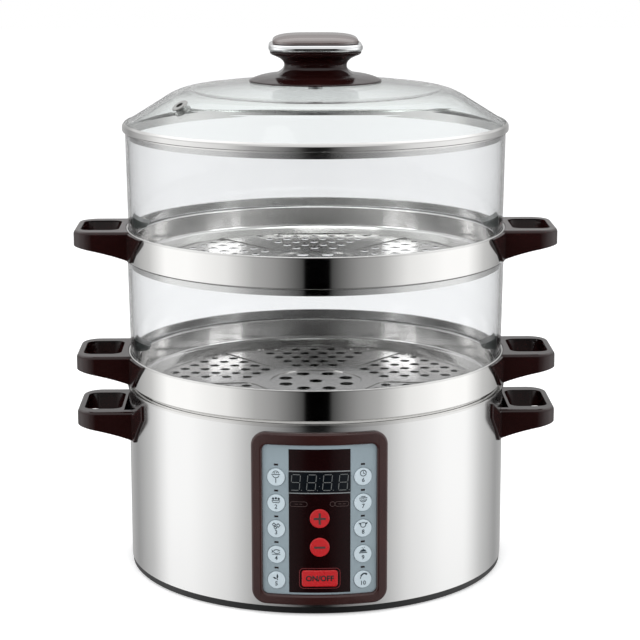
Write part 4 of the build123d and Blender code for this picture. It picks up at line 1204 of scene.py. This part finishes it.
every = ("top", "high_right", "low_right", "bottom", "low_left", "high_left", "middle")
figures = [digit([segment for segment in every if segment != "low_left"], -16.6)]
figures += [digit(every, x) for x in (-5.6, 5.4, 16.4)]
colon = inked([spot(0.1, 3.0, 0.27, 10), spot(-0.2, -2.8, 0.27, 10)], "colon", 0.06)
figures.append(on_window(colon, 0, DISPLAY_Z, FIGURES_PROUD))
figures = joined(figures, "figures")
deliver(figures, "display_figures", "base", ink_dim_grey, angle=0)


def pill(length):
    """A thin outline with round ends and two dashes in it."""
    tall, width = 3.4, 0.35
    reach, radius = length / 2 - tall / 2, tall / 2
    turns = [radians(90 + 18 * step) for step in range(11)]
    points = [(-reach + radius * cos(turn), radius * sin(turn)) for turn in turns]
    points += [(reach - radius * cos(turn), -radius * sin(turn)) for turn in turns]
    points.append((-reach + 0.1, radius))
    dashes = [line_mark(((-2.4, 0), (-0.4, 0))), line_mark(((0.6, 0), (2.6, 0)))]
    return [line_mark(points, width), *dashes]


ring_mark = [arc_mark(0, 0, 1.7, 0, 350, 0.35, 16)]
pills = []
for x, marks in ((-14.6, pill(12.0)), (8.9, ring_mark), (15.4, pill(9.6))):
    pills.append(on_window(inked(marks, "pill", 0.05), x, MARKS_Z, MARKS_PROUD))
deliver(joined(pills, "pills"), "window_pills", "base", ink_dim, angle=0)


def power_outline():
    """The printed frame round the power key, laid on the round window."""
    in_front, lift, thick = 8, 0.04, 0.06
    outline = board("outline", width=28.9, height=15.1, corner=3.2)
    open_whole(outline, "FACE")
    bpy.ops.mesh.inset(thickness=0.55 * MM)
    bpy.ops.mesh.delete(type="FACE")
    bpy.ops.mesh.select_all(action="SELECT")
    bpy.ops.mesh.subdivide(number_cuts=5)
    close_up()
    on_window(outline, 0, POWER_Z, in_front)
    change(
        outline, "SHRINKWRAP", target=nodes["display_window"], wrap_method="PROJECT",
        use_project_y=True, use_positive_direction=True, use_negative_direction=True,
        offset=lift * MM,
    )
    open_whole(outline, "FACE")
    pull(0, -thick, 0)
    close_up()
    return tidy_shell(outline, 0.0005)


deliver(power_outline(), "power_key_frame", "base", ink_red, angle=0)

# -------- finishes of the CAD nodes

CAD_FINISHES = (
    (satin_steel, "outer_shell"),
    (pan_steel, "inner_pot"),
    (eyelet_steel, "vent_eyelet"),
    (screw_steel, "base_screws", "base_handle_screws", "knob_screw", "knob_washer"),
    (screw_steel, "lower_handle_screws", "upper_handle_screws"),
    (cast_aluminium, "heating_plate"),
    (heater_sheath, "heating_element"),
    (brass, "inlet_pins"),
    (black_plastic, "base_pan", "thermostat", "thermal_fuse", "tact_switches", "power_inlet"),
    (soft_rubber, "rubber_feet"),
    (laminate, "control_board", "power_board"),
    (panel_film, "panel_plate"),
    (dark_window, "display_window"),
    (display_glass, "display_module"),
    (lamp_cap, "indicator_lamps"),
    (wall_plastic, "lower_wall", "upper_wall"),
    (lid_stock, "lid_glass"),
    (red_skin, "key_plus", "key_minus", "key_power"),
    (key_skin, *(f"key_{number}" for number in range(1, 11))),
)
for finish, *names in CAD_FINISHES:
    for name in names:
        slots = nodes[name].data.materials
        slots.clear()
        slots.append(finish)
